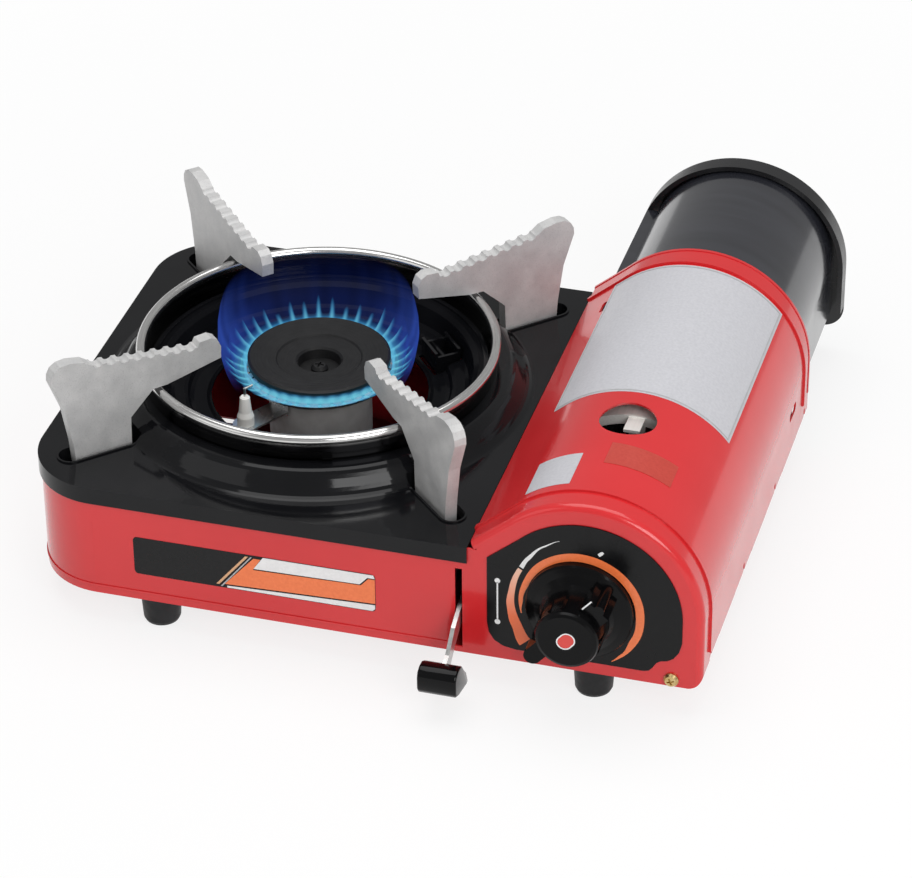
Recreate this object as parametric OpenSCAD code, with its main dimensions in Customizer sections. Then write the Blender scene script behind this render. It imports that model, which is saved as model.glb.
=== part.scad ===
// Butane cassette stove: pressed steel tray, one burner, four lift-out pan
// supports, a hinged cartridge lid and a cover that slides out at the back.
// X runs right along the front, Y runs back, Z runs up. Millimetres.

/* [Body] */
// Width of the black top plate
plate_w = 179.5; // [176:0.5:186]
// Depth of the black top plate
plate_d = 190; // [186:1:200]
// Height of the tray and top plate above the feet
body_h = 49; // [48:0.5:53]
// Height of the rubber feet
foot_h = 13; // [9:0.5:18]
// Radius of the two left corners of the top plate
corner_r = 30; // [20:1:34]
// Thickness of all pressed steel sheet
sheet = 0.8; // [0.6:0.1:1]
// Depth of the turned-down edge of the top plate
lip_h = 7; // [5:0.5:9]
// Distance from the left edge of the plate to the burner axis
burner_left = 92; // [90:0.5:94]
// Distance from the front edge of the plate to the burner axis
burner_front = 96; // [93:0.5:99]

/* [Burner] */
// Radius of the cast burner cap
cap_r = 28.3; // [26:0.1:30]
// Height of the cap's edge above the top plate
cap_rise = 12.7; // [11:0.1:14]
// Outer radius of the windshield rim
rim_r = 72; // [70:0.5:73]
// Height of the windshield rim above the top plate
rim_rise = 20; // [17:0.5:22]
// Number of flame ports
ports = 40; // [24:1:48]

/* [Pan supports] */
// Thickness of each cast pan support
support_t = 5; // [4:0.1:6]
// Reach of the outer tip from the burner axis
support_r = 115; // [112:0.5:118]
// Height of the supports above the top plate
support_rise = 42.7; // [40:0.5:48]
// Number of notches in each support
notches = 8; // [5:1:9]
// How far a support lifts before it is clear of its slot
support_lift = 36; // [20:1:60]

/* [Cartridge barrel] */
// Outer radius of the arched cartridge lid
lid_r = 45; // [44:0.5:47]
// Height of the arch axis above the bottom of the tray
barrel_h = 29.6; // [28.5:0.1:31]
// Radius of the cartridge that the barrel holds
cartridge_r = 34; // [33:0.1:34.2]
// Outer radius of the black sliding cover
cover_r = 39.5; // [39:0.1:40]
// Length of the sliding cover behind the lid when it is pulled out
cover_out = 80; // [60:1:90]
// How far the sliding cover pushes in
cover_travel = 70; // [40:1:70]
// Diameter of the viewing hole in the lid
view_hole_d = 22; // [16:0.5:26]

/* [Controls] */
// Radius of the knob's skirt
knob_r = 20.7; // [18:0.1:22]
// Length of the knob
knob_len = 21.5; // [14:0.5:24]
// Travel of the lock lever in degrees
lever_turn = 20; // [15:1:21]

/* [Hidden] */
$fn = 64;

gap = 0.3;                              // clearance beside a moving or separate piece
running = 0.05;                         // radial clearance of a pin in its bore

x_left = -burner_left;
x_right = x_left + plate_w;
y_front = -burner_front;
y_back = y_front + plate_d;
base_z = foot_h;
floor_z = base_z + sheet;
plate_z = base_z + body_h;
under_z = plate_z - sheet;
edge_gap = 0.8;                         // dark line between the plate and the lid
barrel_x = x_right + edge_gap + lid_r;
barrel_z = base_z + barrel_h;
barrel_left = barrel_x - lid_r;
barrel_right = barrel_x + lid_r;
inset = sheet + gap;                    // tray wall inside the plate's edge
face_y = y_front + inset;               // front of the red panel
rear_y = y_back - inset;                // back of the red tray
tray_left = x_left + inset;
tray_r = corner_r - inset;

// hinge of the cartridge lid
knuckle_r = 2.6;
rod_r = 1.5;
hinge_x = barrel_right - knuckle_r;
hinge_z = base_z + 6.5;
lid_low = hinge_z;                      // lower edge of the lid's right wall
lid_left_low = plate_z - 4.5;           // lower edge of the lid's left wall
shoulder_deg = 130;                     // where the arch turns into the straight left shoulder
join_deg = 6;                           // how far the arch runs on under the shoulder
bite = 0.1;                             // depth of the shoulder's line inside the arch

// front panel and lid along Y
roll_r = 3;
collar_y = face_y + 10.5;               // front of the bead that the lid meets
bead_w = 1.8;
bead_h = 0.8;
panel_r = 6.5;                          // round lower right corner of the panel
lid_front = collar_y + bead_w + gap;
lid_back = rear_y + 3.6;
flange_back = lid_front + 7;

// sliding cover
cover_z = barrel_z + lid_r - sheet - 2.8 - cover_r;
cover_low = base_z + 8;
cover_back = lid_back + cover_out;
cap_wall = 2;
cover_front = cover_back - cap_wall - 112;
rail_front = cover_front - cover_travel - 2;
flange_in = cover_r - 5.5;              // inner half-width of the cover's inturned flanges

cartridge_z = cover_z + cover_r - sheet - 0.5 - cartridge_r;
knob_x = barrel_x - 2;
knob_z = barrel_z;
burner_z = plate_z + cap_rise;
rim_z = plate_z + rim_rise;

// lock lever
lever_x = x_right - 3.5;
lever_t = 1.6;
pivot_y = face_y + 45;
pivot_z = base_z + 26;
pin_r = 2;
arm_h = 13;
link_pin_r = 1.5;
link_x = lever_x + 6.2;
slot_top = plate_z - 10.6;
slot_h = 36;
slot_w = lever_t + 1.2;
part_x = lever_x - 5;                   // partition between burner and cartridge
spacer_r = 4;

mix_z = base_z + 10.5;
mix_r = 6.5;
nozzle_x = 97;
nozzle_y = -60;
mix_deg = atan2(nozzle_y, nozzle_x);
mix_len = norm([nozzle_x, nozzle_y]);
stem_r = 11;

// ring seat and drip pan
seat_z = plate_z + 9;                   // top of the embossed shoulder
ring_wall_r = rim_r - 2;                // middle of the rim's bead
pan_hole_r = 43;
ring_turned = 3.2;                      // width of the windshield's foot

x_mid = (x_left + barrel_right) / 2;
handle_front = face_y - 28.5;
y_mid = (handle_front + cover_back) / 2;

// ---------- helpers ----------

// places what is drawn around the burner axis into the finished frame
module place() {
    translate([-x_mid, -y_mid, 0]) children();
}

// extrudes a section that is drawn in X and Z from y0 back to y1
module along_y(y0, y1) {
    translate([0, y1, 0]) rotate([90, 0, 0]) linear_extrude(y1 - y0) children();
}

// extrudes a section that is drawn in Y and Z from x0 right to x1
module along_x(x0, x1) {
    translate([x0, 0, 0]) rotate([90, 0, 90]) linear_extrude(x1 - x0) children();
}

// cylinder from y0 back to y1
module rod_y(x, z, r, y0, y1) {
    translate([x, y1, z]) rotate([90, 0, 0]) cylinder(r = r, h = y1 - y0);
}

// cylinder from x0 right to x1
module rod_x(y, z, r, x0, x1) {
    translate([x0, y, z]) rotate([0, 90, 0]) cylinder(r = r, h = x1 - x0);
}

// box given by its two corners
module block(low, high) {
    translate(low) cube(high - low);
}

// outline of the top plate: round left corners, square right ones
module plate_outline(in) {
    r = corner_r - in;
    cx = x_left + corner_r;
    translate([cx, y_front + in]) square([x_right - in - cx, plate_d - 2 * in]);
    translate([x_left + in, y_front + corner_r]) square([corner_r, plate_d - 2 * corner_r]);
    for (y = [y_front + corner_r, y_back - corner_r])
        translate([cx, y]) circle(r = r, $fn = 96);
}

// outline of the whole tray in plan, ending under the hinge on the right
module tray_outline(in) {
    r = tray_r - in;
    cx = tray_left + tray_r;
    x1 = hinge_x - in;
    translate([cx, face_y + in]) square([x1 - cx, rear_y - face_y - 2 * in]);
    translate([tray_left + in, face_y + tray_r]) square([tray_r, rear_y - face_y - 2 * tray_r]);
    for (y = [face_y + tray_r, rear_y - tray_r])
        translate([cx, y]) circle(r = r, $fn = 96);
}

// sector of the barrel's circle, from the right to just past the shoulder
module arch(r) {
    d = 2 * lid_r;
    intersection() {
        translate([barrel_x, barrel_z]) circle(r = r, $fn = 128);
        translate([barrel_x, barrel_z]) polygon([[0, 0], [d, 0], [d, d], [0, d],
            [d * cos(shoulder_deg + join_deg), d * sin(shoulder_deg + join_deg)]]);
    }
}

// height at which the straight shoulder, bite inside the tangent, reaches an upright at x
function shoulder_at(r, x) =
    barrel_z + (r - bite - (x - barrel_x) * cos(shoulder_deg)) / sin(shoulder_deg);

// section of the barrel in X and Z, offset inwards: arch, right wall, left shoulder
module barrel_section(in, low_left, low_right) {
    r = lid_r - in;
    left = barrel_left + in;
    tx = barrel_x + (r - bite) * cos(shoulder_deg);
    tz = barrel_z + (r - bite) * sin(shoulder_deg);
    arch(r);
    translate([barrel_x, low_right]) square([r, barrel_z - low_right]);
    polygon([[tx, tz], [left, shoulder_at(r, left)], [left, low_left], [barrel_x, low_left], [barrel_x, tz]]);
}

// sheet metal skin that follows the barrel's section
module barrel_skin(out, thick, low_left, low_right) {
    difference() {
        barrel_section(out, low_left, low_right);
        barrel_section(out + thick, low_left - 1, low_right - 1);
    }
}

// ---------- tray ----------

module panel_face() {
    // flat front: left part under the plate and the arched part on the right
    translate([tray_left + tray_r, base_z]) square([barrel_left + 1 - tray_left - tray_r, under_z - base_z]);
    barrel_section(roll_r - 0.15, base_z, base_z);
    translate([barrel_left, base_z]) square([lid_r, under_z - base_z]);
}

// quarter-round edge between the front face and the collar
module roll_profile(r) {
    difference() {
        intersection() {
            translate([r - roll_r, -roll_r]) circle(r = roll_r, $fn = 48);
            translate([r - roll_r, -roll_r]) square(roll_r);
        }
        translate([r - roll_r, -roll_r]) circle(r = roll_r - sheet, $fn = 48);
    }
}

module panel_roll() {
    run = lid_r * (1 + cos(shoulder_deg)) / sin(shoulder_deg);
    translate([barrel_x, face_y, barrel_z]) rotate([90, 0, 0]) {
        // round the arch
        rotate_extrude(angle = shoulder_deg + join_deg, $fn = 128) roll_profile(lid_r);
        // along the left shoulder
        rotate([0, 0, shoulder_deg]) translate([0, run, 0]) rotate([90, 0, 0])
            linear_extrude(run) roll_profile(lid_r - bite);
    }
    // down the right side
    translate([barrel_x, face_y, base_z]) mirror([0, 1, 0]) linear_extrude(barrel_z - base_z) roll_profile(lid_r);
}

module chassis() {
    color("firebrick") place() difference() {
        union() {
            // floor
            translate([0, 0, base_z]) linear_extrude(sheet) tray_outline(0);
            // left, front and back walls up to the plate
            intersection() {
                translate([0, 0, base_z]) linear_extrude(under_z - base_z) difference() {
                    tray_outline(0);
                    tray_outline(sheet);
                }
                block([x_left, y_front, base_z], [barrel_left - gap, y_back, under_z]);
            }
            // fine bead round the foot of the wall
            intersection() {
                translate([0, 0, base_z + 3.2]) linear_extrude(0.9) difference() {
                    tray_outline(-0.4);
                    tray_outline(sheet / 2);
                }
                block([x_left, y_front, base_z], [barrel_left - 8, y_back + 1, under_z]);
            }
            // low walls round the cartridge bay
            translate([0, 0, base_z]) linear_extrude(2.8) difference() {
                tray_outline(0);
                tray_outline(sheet);
            }
            block([barrel_left, rear_y - sheet, base_z], [barrel_x + cover_r, rear_y, cover_low - gap]);
            // arched front panel with its collar
            along_y(face_y, face_y + sheet) panel_face();
            panel_roll();
            along_y(face_y + roll_r, collar_y + bead_w) barrel_skin(0, sheet, lid_left_low, base_z);
            along_y(collar_y, collar_y + bead_w) barrel_skin(-bead_h, bead_h + sheet, plate_z + gap, hinge_z + 4);
            along_y(collar_y, collar_y + bead_w) barrel_skin(0, inset + sheet, plate_z + gap, hinge_z + 4);
            // flange under the lid, cut short on the left where the lid swings past it
            difference() {
                along_y(collar_y, flange_back) barrel_skin(inset, sheet, plate_z, hinge_z + 4);
                block([barrel_left, collar_y + bead_w, floor_z], [barrel_x - 20, flange_back + 1, plate_z + 8.5]);
            }
            // lugs that hold the hinge rod
            for (y = hinge_lugs()) hinge_lug(y);
        }
        // slot for the lock lever
        block([lever_x - slot_w / 2, face_y - 1, slot_top - slot_h], [lever_x + slot_w / 2, face_y + 2, slot_top]);
        // hole for the valve shaft
        rod_y(knob_x, knob_z, 5.5, face_y - 1, face_y + 2);
        // holes that the lugs carry for the rod
        rod_y(hinge_x, hinge_z, rod_r + 0.02, face_y + 12, rear_y);
        // round lower right corner of the panel
        along_y(face_y - 1, collar_y + bead_w + 1) difference() {
            translate([barrel_right - panel_r, base_z - 1]) square([panel_r + 1, panel_r + 1]);
            translate([barrel_right - panel_r, base_z + panel_r]) circle(r = panel_r + bite, $fn = 64);
        }
        // cooling slots in the floor
        for (x = [x_left + 22, 26]) for (i = [-3:3])
            translate([x, i * 11, base_z - 1]) linear_extrude(3) floor_slot();
    }
}

module floor_slot() {
    translate([2, -2]) square([18, 4]);
    for (x = [2, 20]) translate([x, 0]) circle(r = 2, $fn = 24);
}

// places of the lugs and knuckles along Y
lug_w = 1.6;
knuckle_w = 26;
knuckles = 3;
function hinge_pitch() = (rear_y - 2 - lug_w - (lid_front + 1)) / knuckles;
function hinge_lugs() = [for (i = [0:knuckles]) lid_front + 1 + i * hinge_pitch()];

module hinge_lug(y) {
    r = knuckle_r - 0.2;
    rod_y(hinge_x, hinge_z, r, y, y + lug_w);
    block([hinge_x - r, y, base_z], [hinge_x, y + lug_w, hinge_z]);
}

// ---------- top plate ----------

slot_in = 80;
slot_out = support_r - 2.2;
slot_wide = support_t + 4.6;
pocket_h = 8;
support_foot = plate_z - pocket_h + sheet;

// each support's heading seen from above
headings = [225, 315, 135, 45];

module at_heading(i) {
    rotate([0, 0, headings[i]]) children();
}

// embossed shoulder from the flat plate up to the ring's seat
shoulder_out = 85;
shoulder_in = 74.5;
shoulder_n = 10;
shoulder_top = [for (i = [0:shoulder_n]) let (t = i / shoulder_n)
    [shoulder_out + (shoulder_in - shoulder_out) * t, plate_z + (seat_z - plate_z) * (3 - 2 * t) * t * t]];

module shoulder_profile() {
    low = [for (i = [shoulder_n:-1:0]) shoulder_top[i] - [0.9 * sheet * sin(180 * i / shoulder_n), sheet]];
    polygon(concat(shoulder_top, [[ring_wall_r - 5, seat_z], [ring_wall_r - 5, seat_z - sheet]], low));
}

// everything under the plate's surface, with a low rim round the slots
module below_shoulder() {
    rise = [for (p = shoulder_top) p[1] < plate_z + 0.6 ? [p[0], plate_z + 0.6] : p];
    polygon(concat([[130, 0], [130, plate_z + 0.6]], rise, [[0, seat_z], [0, 0]]));
}

module slot_shape(in) {
    w = slot_wide - 2 * in;
    translate([slot_in + in, -w / 2]) square([slot_out - slot_in - 2 * in - w / 2, w]);
    translate([slot_out - in - w / 2, 0]) circle(d = w, $fn = 48);
}

module top_plate() {
    color([0.07, 0.07, 0.08]) place() {
        difference() {
            union() {
                difference() {
                    translate([0, 0, under_z]) linear_extrude(sheet) plate_outline(0);
                    translate([0, 0, under_z - 1]) cylinder(r = shoulder_out - 0.1, h = sheet + 2, $fn = 128);
                }
                rotate_extrude($fn = 128) shoulder_profile();
                // turned-down edge
                translate([0, 0, plate_z - lip_h]) linear_extrude(lip_h) difference() {
                    plate_outline(0);
                    plate_outline(sheet);
                }
                // pressed pockets that the supports stand in
                intersection() {
                    for (i = [0:3]) at_heading(i)
                        translate([0, 0, plate_z - pocket_h]) linear_extrude(pocket_h + 8) slot_shape(-sheet);
                    rotate_extrude($fn = 128) below_shoulder();
                }
            }
            // the tray's front and back walls pass through the right-hand edge
            for (y = [face_y - gap, rear_y - sheet - gap])
                block([x_right - sheet - gap, y, plate_z - lip_h - 1], [x_right + 1, y + sheet + 2 * gap, under_z]);
            for (i = [0:3]) at_heading(i)
                translate([0, 0, support_foot]) linear_extrude(30) slot_shape(0);
        }
    }
}

module windshield_ring() {
    r = ring_wall_r;
    color([0.8, 0.8, 0.78]) place() {
        rotate_extrude($fn = 128) {
            translate([r, rim_z - 2]) circle(r = 2, $fn = 32);
            translate([r - sheet / 2, seat_z]) square([sheet, rim_z - 2 - seat_z]);
            translate([r - ring_turned, seat_z]) square([ring_turned, sheet]);
        }
        // clip tabs pressed out of the wall
        for (a = [-70, 50, 170]) rotate([0, 0, a])
            block([r - 0.2, -2, seat_z + 0.6], [r + 1.4, 2, seat_z + 4.5]);
    }
}

module drip_pan() {
    t = sheet;
    r = ring_wall_r;
    z = seat_z - sheet;
    // turned flange, wall, upper floor, step and lower floor with a rolled inner edge
    color([0.05, 0.05, 0.06]) place() difference() {
        rotate_extrude($fn = 96) polygon([
            [r + 1, z], [r - 7, z], [r - 9, z - 1.5], [r - 11, z - 8.5], [r - 12.5, z - 9.5],
            [54, z - 10], [52.5, z - 10.6], [51.5, z - 12.4], [50, z - 13],
            [pan_hole_r + 2, z - 13.3], [pan_hole_r + 0.8, z - 12.6], [pan_hole_r, z - 12.4],
            [pan_hole_r, z - 12.4 - t], [pan_hole_r + 1.4, z - 13.6 - t], [50.6, z - 13.2 - t],
            [52.3, z - 12.6 - t], [53.4, z - 10.8 - t], [54.6, z - 10.2 - t],
            [r - 12, z - 9.8 - t], [r - 10.2, z - 8.6 - t], [r - 8.2, z - 1.8 - t], [r - 6.6, z - t],
            [r + 1, z - t]]);
        // opening for the heat panel
        rotate([0, 0, heat_deg]) block([heat_r - 1, -8, z - 16], [heat_r + 11.8, 8, z - 8.2]);
    }
}

// ---------- burner ----------

module burner_body() {
    top = burner_z - 9;
    color([0.55, 0.55, 0.56]) place() difference() {
        union() {
            rotate_extrude($fn = 96) polygon([
                [0, floor_z], [16, floor_z], [16, floor_z + 2.5], [stem_r + 1.5, floor_z + 3.5],
                [stem_r + 1.5, floor_z + 22], [20.5, floor_z + 27], [20.5, top], [0, top]]);
            // socket for the mixing tube
            rotate([0, 0, mix_deg]) translate([0, 0, mix_z]) rotate([0, 90, 0]) cylinder(r = mix_r + 2.5, h = 24);
        }
        // gas chamber
        translate([0, 0, floor_z + 24]) cylinder(r1 = 12, r2 = 17.5, h = 6);
        translate([0, 0, floor_z + 29.9]) cylinder(r = 17.5, h = 40);
        translate([0, 0, mix_z - 2]) cylinder(r = 8, h = 30);
        rotate([0, 0, mix_deg]) translate([16, 0, mix_z]) rotate([0, 90, 0]) cylinder(r = mix_r + 0.02, h = 10);
        rotate([0, 0, mix_deg]) translate([0, 0, mix_z]) rotate([0, 90, 0]) cylinder(r = mix_r - sheet, h = 20);
    }
}

module flame_ring() {
    low = burner_z - 9;
    port_z = burner_z - 5.2;
    color([0.75, 0.74, 0.72]) place() difference() {
        rotate_extrude($fn = 96) polygon([
            [15, low], [22, low], [cap_r + 1.6, low + 2], [cap_r + 1.6, low + 3], [cap_r - 0.4, port_z],
            [cap_r - 2.4, burner_z - 4], [cap_r - 7, burner_z - 4], [cap_r - 7, low + 2.4], [15, low + 1.4]]);
        for (i = [0:ports - 1]) rotate([0, 0, i * 360 / ports])
            block([cap_r - 8, -0.6, port_z - 0.4], [cap_r + 4, 0.6, burner_z]);
    }
}

module burner_cap() {
    z = burner_z;
    color([0.16, 0.16, 0.18]) place() difference() {
        rotate_extrude($fn = 96) polygon([
            [0, z - 7], [8, z - 7], [8.6, z - 3.4], [9.4, z - 2.6], [16.6, z - 2.1], [17.2, z - 1.5],
            [cap_r - 1, z], [cap_r, z - 0.6], [cap_r, z - 2.6], [cap_r - 1.6, z - 4], [cap_r - 7, z - 4],
            [cap_r - 8, z - 5.2], [12, z - 5.2], [11, z - 9.2], [0, z - 9.2]]);
        translate([0, 0, z - 12]) cylinder(r = 1.6, h = 8);
    }
}

module cap_screw() {
    z = burner_z - 7;
    color([0.3, 0.3, 0.32]) place() difference() {
        union() {
            rotate_extrude($fn = 48) polygon([[0, z], [3.4, z], [3.4, z + 0.8], [2.4, z + 1.9], [0, z + 2.2]]);
            translate([0, 0, z - 2.2]) cylinder(r = 1.55, h = 2.3);
        }
        for (a = [0, 90]) rotate([0, 0, a]) block([-1.8, -0.4, z + 1.2], [1.8, 0.4, z + 3]);
    }
}

module mixing_tube() {
    // horizontal venturi tube with a bell mouth and air window
    start = 17;
    end = mix_len - 6;
    color([0.72, 0.72, 0.7]) place() rotate([0, 0, mix_deg]) translate([0, 0, mix_z]) difference() {
        rotate([0, 90, 0]) rotate_extrude($fn = 48) polygon([
            [mix_r, start], [mix_r, 55], [mix_r - 2, 70], [mix_r - 2, 80], [mix_r + 1.2, end],
            [mix_r + 0.4, end], [mix_r - 2 - sheet, 80], [mix_r - 2 - sheet, 70],
            [mix_r - sheet, 55], [mix_r - sheet, start]]);
        block([end - 12, -3, 0], [end - 5, 3, 20]);
    }
}

module gas_nozzle() {
    color([0.8, 0.62, 0.25]) place() rotate([0, 0, mix_deg]) translate([mix_len, 0, mix_z]) rotate([0, -90, 0])
        difference() {
            rotate_extrude($fn = 48) polygon([[0, -6], [4.5, -6], [4.5, 0], [3.4, 0.6], [3.4, 6], [2, 9], [0, 9]]);
            translate([0, 0, 4]) cylinder(r = 0.4, h = 6);
        }
}

// ---------- regulator and valve ----------

reg_y0 = face_y + 14;
reg_y1 = reg_y0 + 26;
reg_half = 15;
dome_r = 17;
dome_y = (reg_y0 + reg_y1) / 2;
dome_z = knob_z + 4;

module regulator_body() {
    color([0.66, 0.66, 0.68]) place() difference() {
        union() {
            // cast block with rounded vertical edges
            along_y(reg_y0, reg_y1) {
                translate([barrel_x - reg_half, knob_z - 12]) square([2 * reg_half, 26]);
                translate([barrel_x, cartridge_z]) circle(r = reg_half, $fn = 64);
            }
            // seat that the cartridge's stem is pushed into
            rod_y(barrel_x, cartridge_z, 11, reg_y1, reg_y1 + 8);
            rod_y(barrel_x, cartridge_z, 8, reg_y1, reg_y1 + 12);
            // housing of the diaphragm
            rod_x(dome_y, dome_z, dome_r, barrel_x + reg_half - 1, barrel_x + reg_half + 7);
            // boss for the valve shaft
            rod_y(knob_x, knob_z, 8, reg_y0 - 7, reg_y0 + 1);
            // outlet arm that carries the nozzle
            rotate([0, 0, mix_deg]) translate([mix_len, 0, mix_z]) rotate([0, 90, 0]) cylinder(r = 6.5, h = 12);
            translate([0, 0, mix_z]) block([nozzle_x + 5, nozzle_y - 9, -5], [nozzle_x + 14, nozzle_y + 4, 5]);
            translate([0, 0, mix_z]) block([nozzle_x + 6, reg_y0 + 4, -5], [barrel_x - 4, reg_y0 + 14, 5]);
            block([barrel_x - 14, reg_y0 + 4, mix_z - 5], [barrel_x - 4, reg_y0 + 14, knob_z - 11]);
        }
        // bore of the valve shaft
        rod_y(knob_x, knob_z, 3 + running, reg_y0 - 8, reg_y0 + 10);
        // stem seat
        rod_y(barrel_x, cartridge_z, 4.2, reg_y1 + 4, reg_y1 + 13);
        // nozzle socket
        rotate([0, 0, mix_deg]) translate([mix_len - 0.01, 0, mix_z]) rotate([0, 90, 0]) cylinder(r = 4.52, h = 6.01);
    }
}

module diaphragm_cover() {
    x = barrel_x + reg_half + 7;
    color([0.78, 0.78, 0.76]) place() translate([x, dome_y, dome_z]) rotate([0, 90, 0]) rotate_extrude($fn = 64)
        polygon([[0, 0], [dome_r + 1, 0], [dome_r + 1, 1.2], [dome_r - 4.4, 1.2], [dome_r - 7, 5], [4, 6], [0, 6]]);
}

module regulator_screws() {
    x = barrel_x + reg_half + 7;
    color([0.7, 0.7, 0.68]) place() for (a = [45:90:315]) translate([x, dome_y, dome_z]) rotate([a, 0, 0])
        translate([1.2, dome_r - 2, 0]) rotate([0, 90, 0]) difference() {
            cylinder(r = 1.8, h = 1.6, $fn = 32);
            translate([-1.2, -0.3, 1]) cube([2.4, 0.6, 2]);
        }
}

module regulator_bracket() {
    // folded plate behind the panel that the regulator block stands on
    color([0.74, 0.74, 0.72]) place() difference() {
        union() {
            block([barrel_x - 6, reg_y0 + 2, floor_z], [barrel_x + 22, reg_y1 + 4, floor_z + sheet]);
            block([barrel_x - 2, reg_y0 + 2, floor_z], [barrel_x - 2 + sheet, reg_y1, knob_z - 12]);
            block([barrel_x + 12, reg_y0 + 2, floor_z], [barrel_x + 12 + sheet, reg_y1, knob_z - 12]);
            block([barrel_x - 2, reg_y0 + 2, knob_z - 12 - sheet], [barrel_x + 12 + sheet, reg_y1, knob_z - 12]);
        }
        for (y = [reg_y0 + 8, reg_y1 - 4]) translate([barrel_x + 18, y, floor_z - 1]) cylinder(r = 1.7, h = 4);
    }
}

shaft_r = 3;
shaft_end = face_y - 12;

module valve_shaft() {
    color([0.8, 0.65, 0.3]) place() difference() {
        rod_y(knob_x, knob_z, shaft_r, shaft_end, reg_y0 + 6);
        // flat that turns the knob
        block([knob_x - 5, shaft_end - 1, knob_z + shaft_r - 0.8], [knob_x + 5, face_y - 2, knob_z + 5]);
    }
}

knob_back = face_y - 0.5 - gap;
knob_face = knob_back - knob_len;
grip_r = 12.2;
pointer_deg = 229;

module control_knob() {
    color([0.06, 0.06, 0.07]) place() difference() {
        union() {
            translate([knob_x, knob_back, knob_z]) rotate([90, 0, 0]) rotate_extrude($fn = 96) polygon([
                [0, 0], [knob_r, 0], [knob_r, 2], [knob_r - 0.6, 2.8], [knob_r - 2.2, 3.4], [16.8, 4],
                [grip_r + 2, 5.4], [grip_r + 0.8, 7], [grip_r, knob_len - 1.4], [grip_r - 0.5, knob_len - 0.5],
                [grip_r - 1.6, knob_len], [0, knob_len]]);
            // raised grip bar across the skirt, in line with the pointer
            translate([knob_x, knob_back, knob_z]) rotate([90, 0, 0]) rotate([0, 0, pointer_deg + 180])
                translate([0, 0, 1]) linear_extrude(knob_len - 5) {
                    translate([0, -5]) square([knob_r - 3.6, 10]);
                    translate([knob_r - 3.6, 0]) circle(r = 2.2, $fn = 24);
                    translate([knob_r - 5.8, -5]) square([2.2, 10]);
                }
            // pointer
            translate([knob_x, knob_back, knob_z]) rotate([90, 0, 0]) rotate([0, 0, pointer_deg])
                translate([0, 0, 2.6]) linear_extrude(7) {
                    translate([knob_r - 5, -3.4]) square([8.6, 6.8]);
                    translate([knob_r + 3.6, 0]) circle(r = 3.4, $fn = 32);
                }
            // finger ribs
            for (a = [-130:26:130]) translate([knob_x, knob_back, knob_z]) rotate([90, 0, 0])
                rotate([0, 0, pointer_deg + a]) translate([grip_r - 0.4, -0.6, 6]) cube([1, 1.2, knob_len - 9]);
        }
        // seat of the shaft
        difference() {
            rod_y(knob_x, knob_z, shaft_r + 0.02, shaft_end, knob_back + 1);
            block([knob_x - 5, shaft_end - 1, knob_z + shaft_r - 0.78], [knob_x + 5, knob_back - 1.4, knob_z + 5]);
        }
        // recess of the marker
        translate([knob_x, knob_face + 0.6, knob_z]) rotate([90, 0, 0]) rotate([0, 0, pointer_deg])
            linear_extrude(1) marker_shape(0);
    }
}

// stadium in line with the pointer
module marker_shape(in) {
    translate([-0.8, in - 2.6]) square([1.6, 5.2 - 2 * in]);
    for (x = [-0.8, 0.8]) translate([x, 0]) circle(r = 2.6 - in, $fn = 32);
}

module knob_marker() {
    color([0.85, 0.2, 0.15]) place() translate([knob_x, knob_face + 0.6, knob_z]) rotate([90, 0, 0])
        rotate([0, 0, pointer_deg]) linear_extrude(0.6) marker_shape(0.05);
}

// ---------- dial plate and front screw ----------

dial_t = 0.5;
dial_in = 8;
dial_left = barrel_left + 6.9;
dial_low = base_z + 5.3;
front_screw = [barrel_right - 11.8, base_z + 3.2];

module dial_plate() {
    r = lid_r - dial_in;
    tx = barrel_x + (r - bite) * cos(shoulder_deg);
    tz = barrel_z + (r - bite) * sin(shoulder_deg);
    color([0.05, 0.05, 0.05]) place() difference() {
        along_y(face_y - dial_t, face_y) {
            arch(r);
            polygon([[barrel_x, barrel_z], [tx, tz], [dial_left, shoulder_at(r, dial_left)], [dial_left, dial_low + 11],
                [dial_left + 0.7, dial_low + 6.6], [dial_left + 2.8, dial_low + 3.2], [dial_left + 6.3, dial_low + 1.1],
                [dial_left + 11, dial_low + 0.3], [barrel_x - 8, dial_low], [barrel_x + 22.5, dial_low],
                [barrel_x + 24.6, dial_low + 0.6], [barrel_x + 26, dial_low + 2.2], [barrel_x + 27.4, dial_low + 4.6],
                [barrel_x + 29, dial_low + 5.7], [barrel_x + 31.7, dial_low + 6.3], [barrel_x + 34, dial_low + 7.9],
                [barrel_x + r - 1, dial_low + 11], [barrel_x + r, dial_low + 15], [barrel_x + r, barrel_z]]);
        }
        rod_y(knob_x, knob_z, 6, face_y - 2, face_y + 1);
    }
}

module panel_screw() {
    color([0.78, 0.66, 0.38]) place() translate([front_screw[0], face_y, front_screw[1]]) rotate([90, 0, 0])
        difference() {
            rotate_extrude($fn = 48) polygon([[0, 0], [2.9, 0], [2.9, 0.7], [2.2, 1.7], [0, 2.1]]);
            for (a = [20, 110]) rotate([0, 0, a]) block([-1.5, -0.35, 1.1], [1.5, 0.35, 3]);
        }
}

// ---------- igniter ----------

piezo_x = barrel_x - 29;
piezo_z = knob_z - 2;
piezo_y = face_y + sheet;
electrode = [-20, -33];
electrode_low = plate_z - 12;
electrode_top = plate_z + 10;

module piezo_igniter() {
    color([0.9, 0.9, 0.88]) place() {
        rod_y(piezo_x, piezo_z, 6.5, piezo_y + 6, piezo_y + 30);
        rod_y(piezo_x, piezo_z, 3, piezo_y + 30, piezo_y + 33);
        // moulded bracket against the panel
        block([piezo_x - 7.5, piezo_y, piezo_z - 7.5], [piezo_x + 7.5, piezo_y + 7, piezo_z + 7.5]);
    }
}

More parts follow.
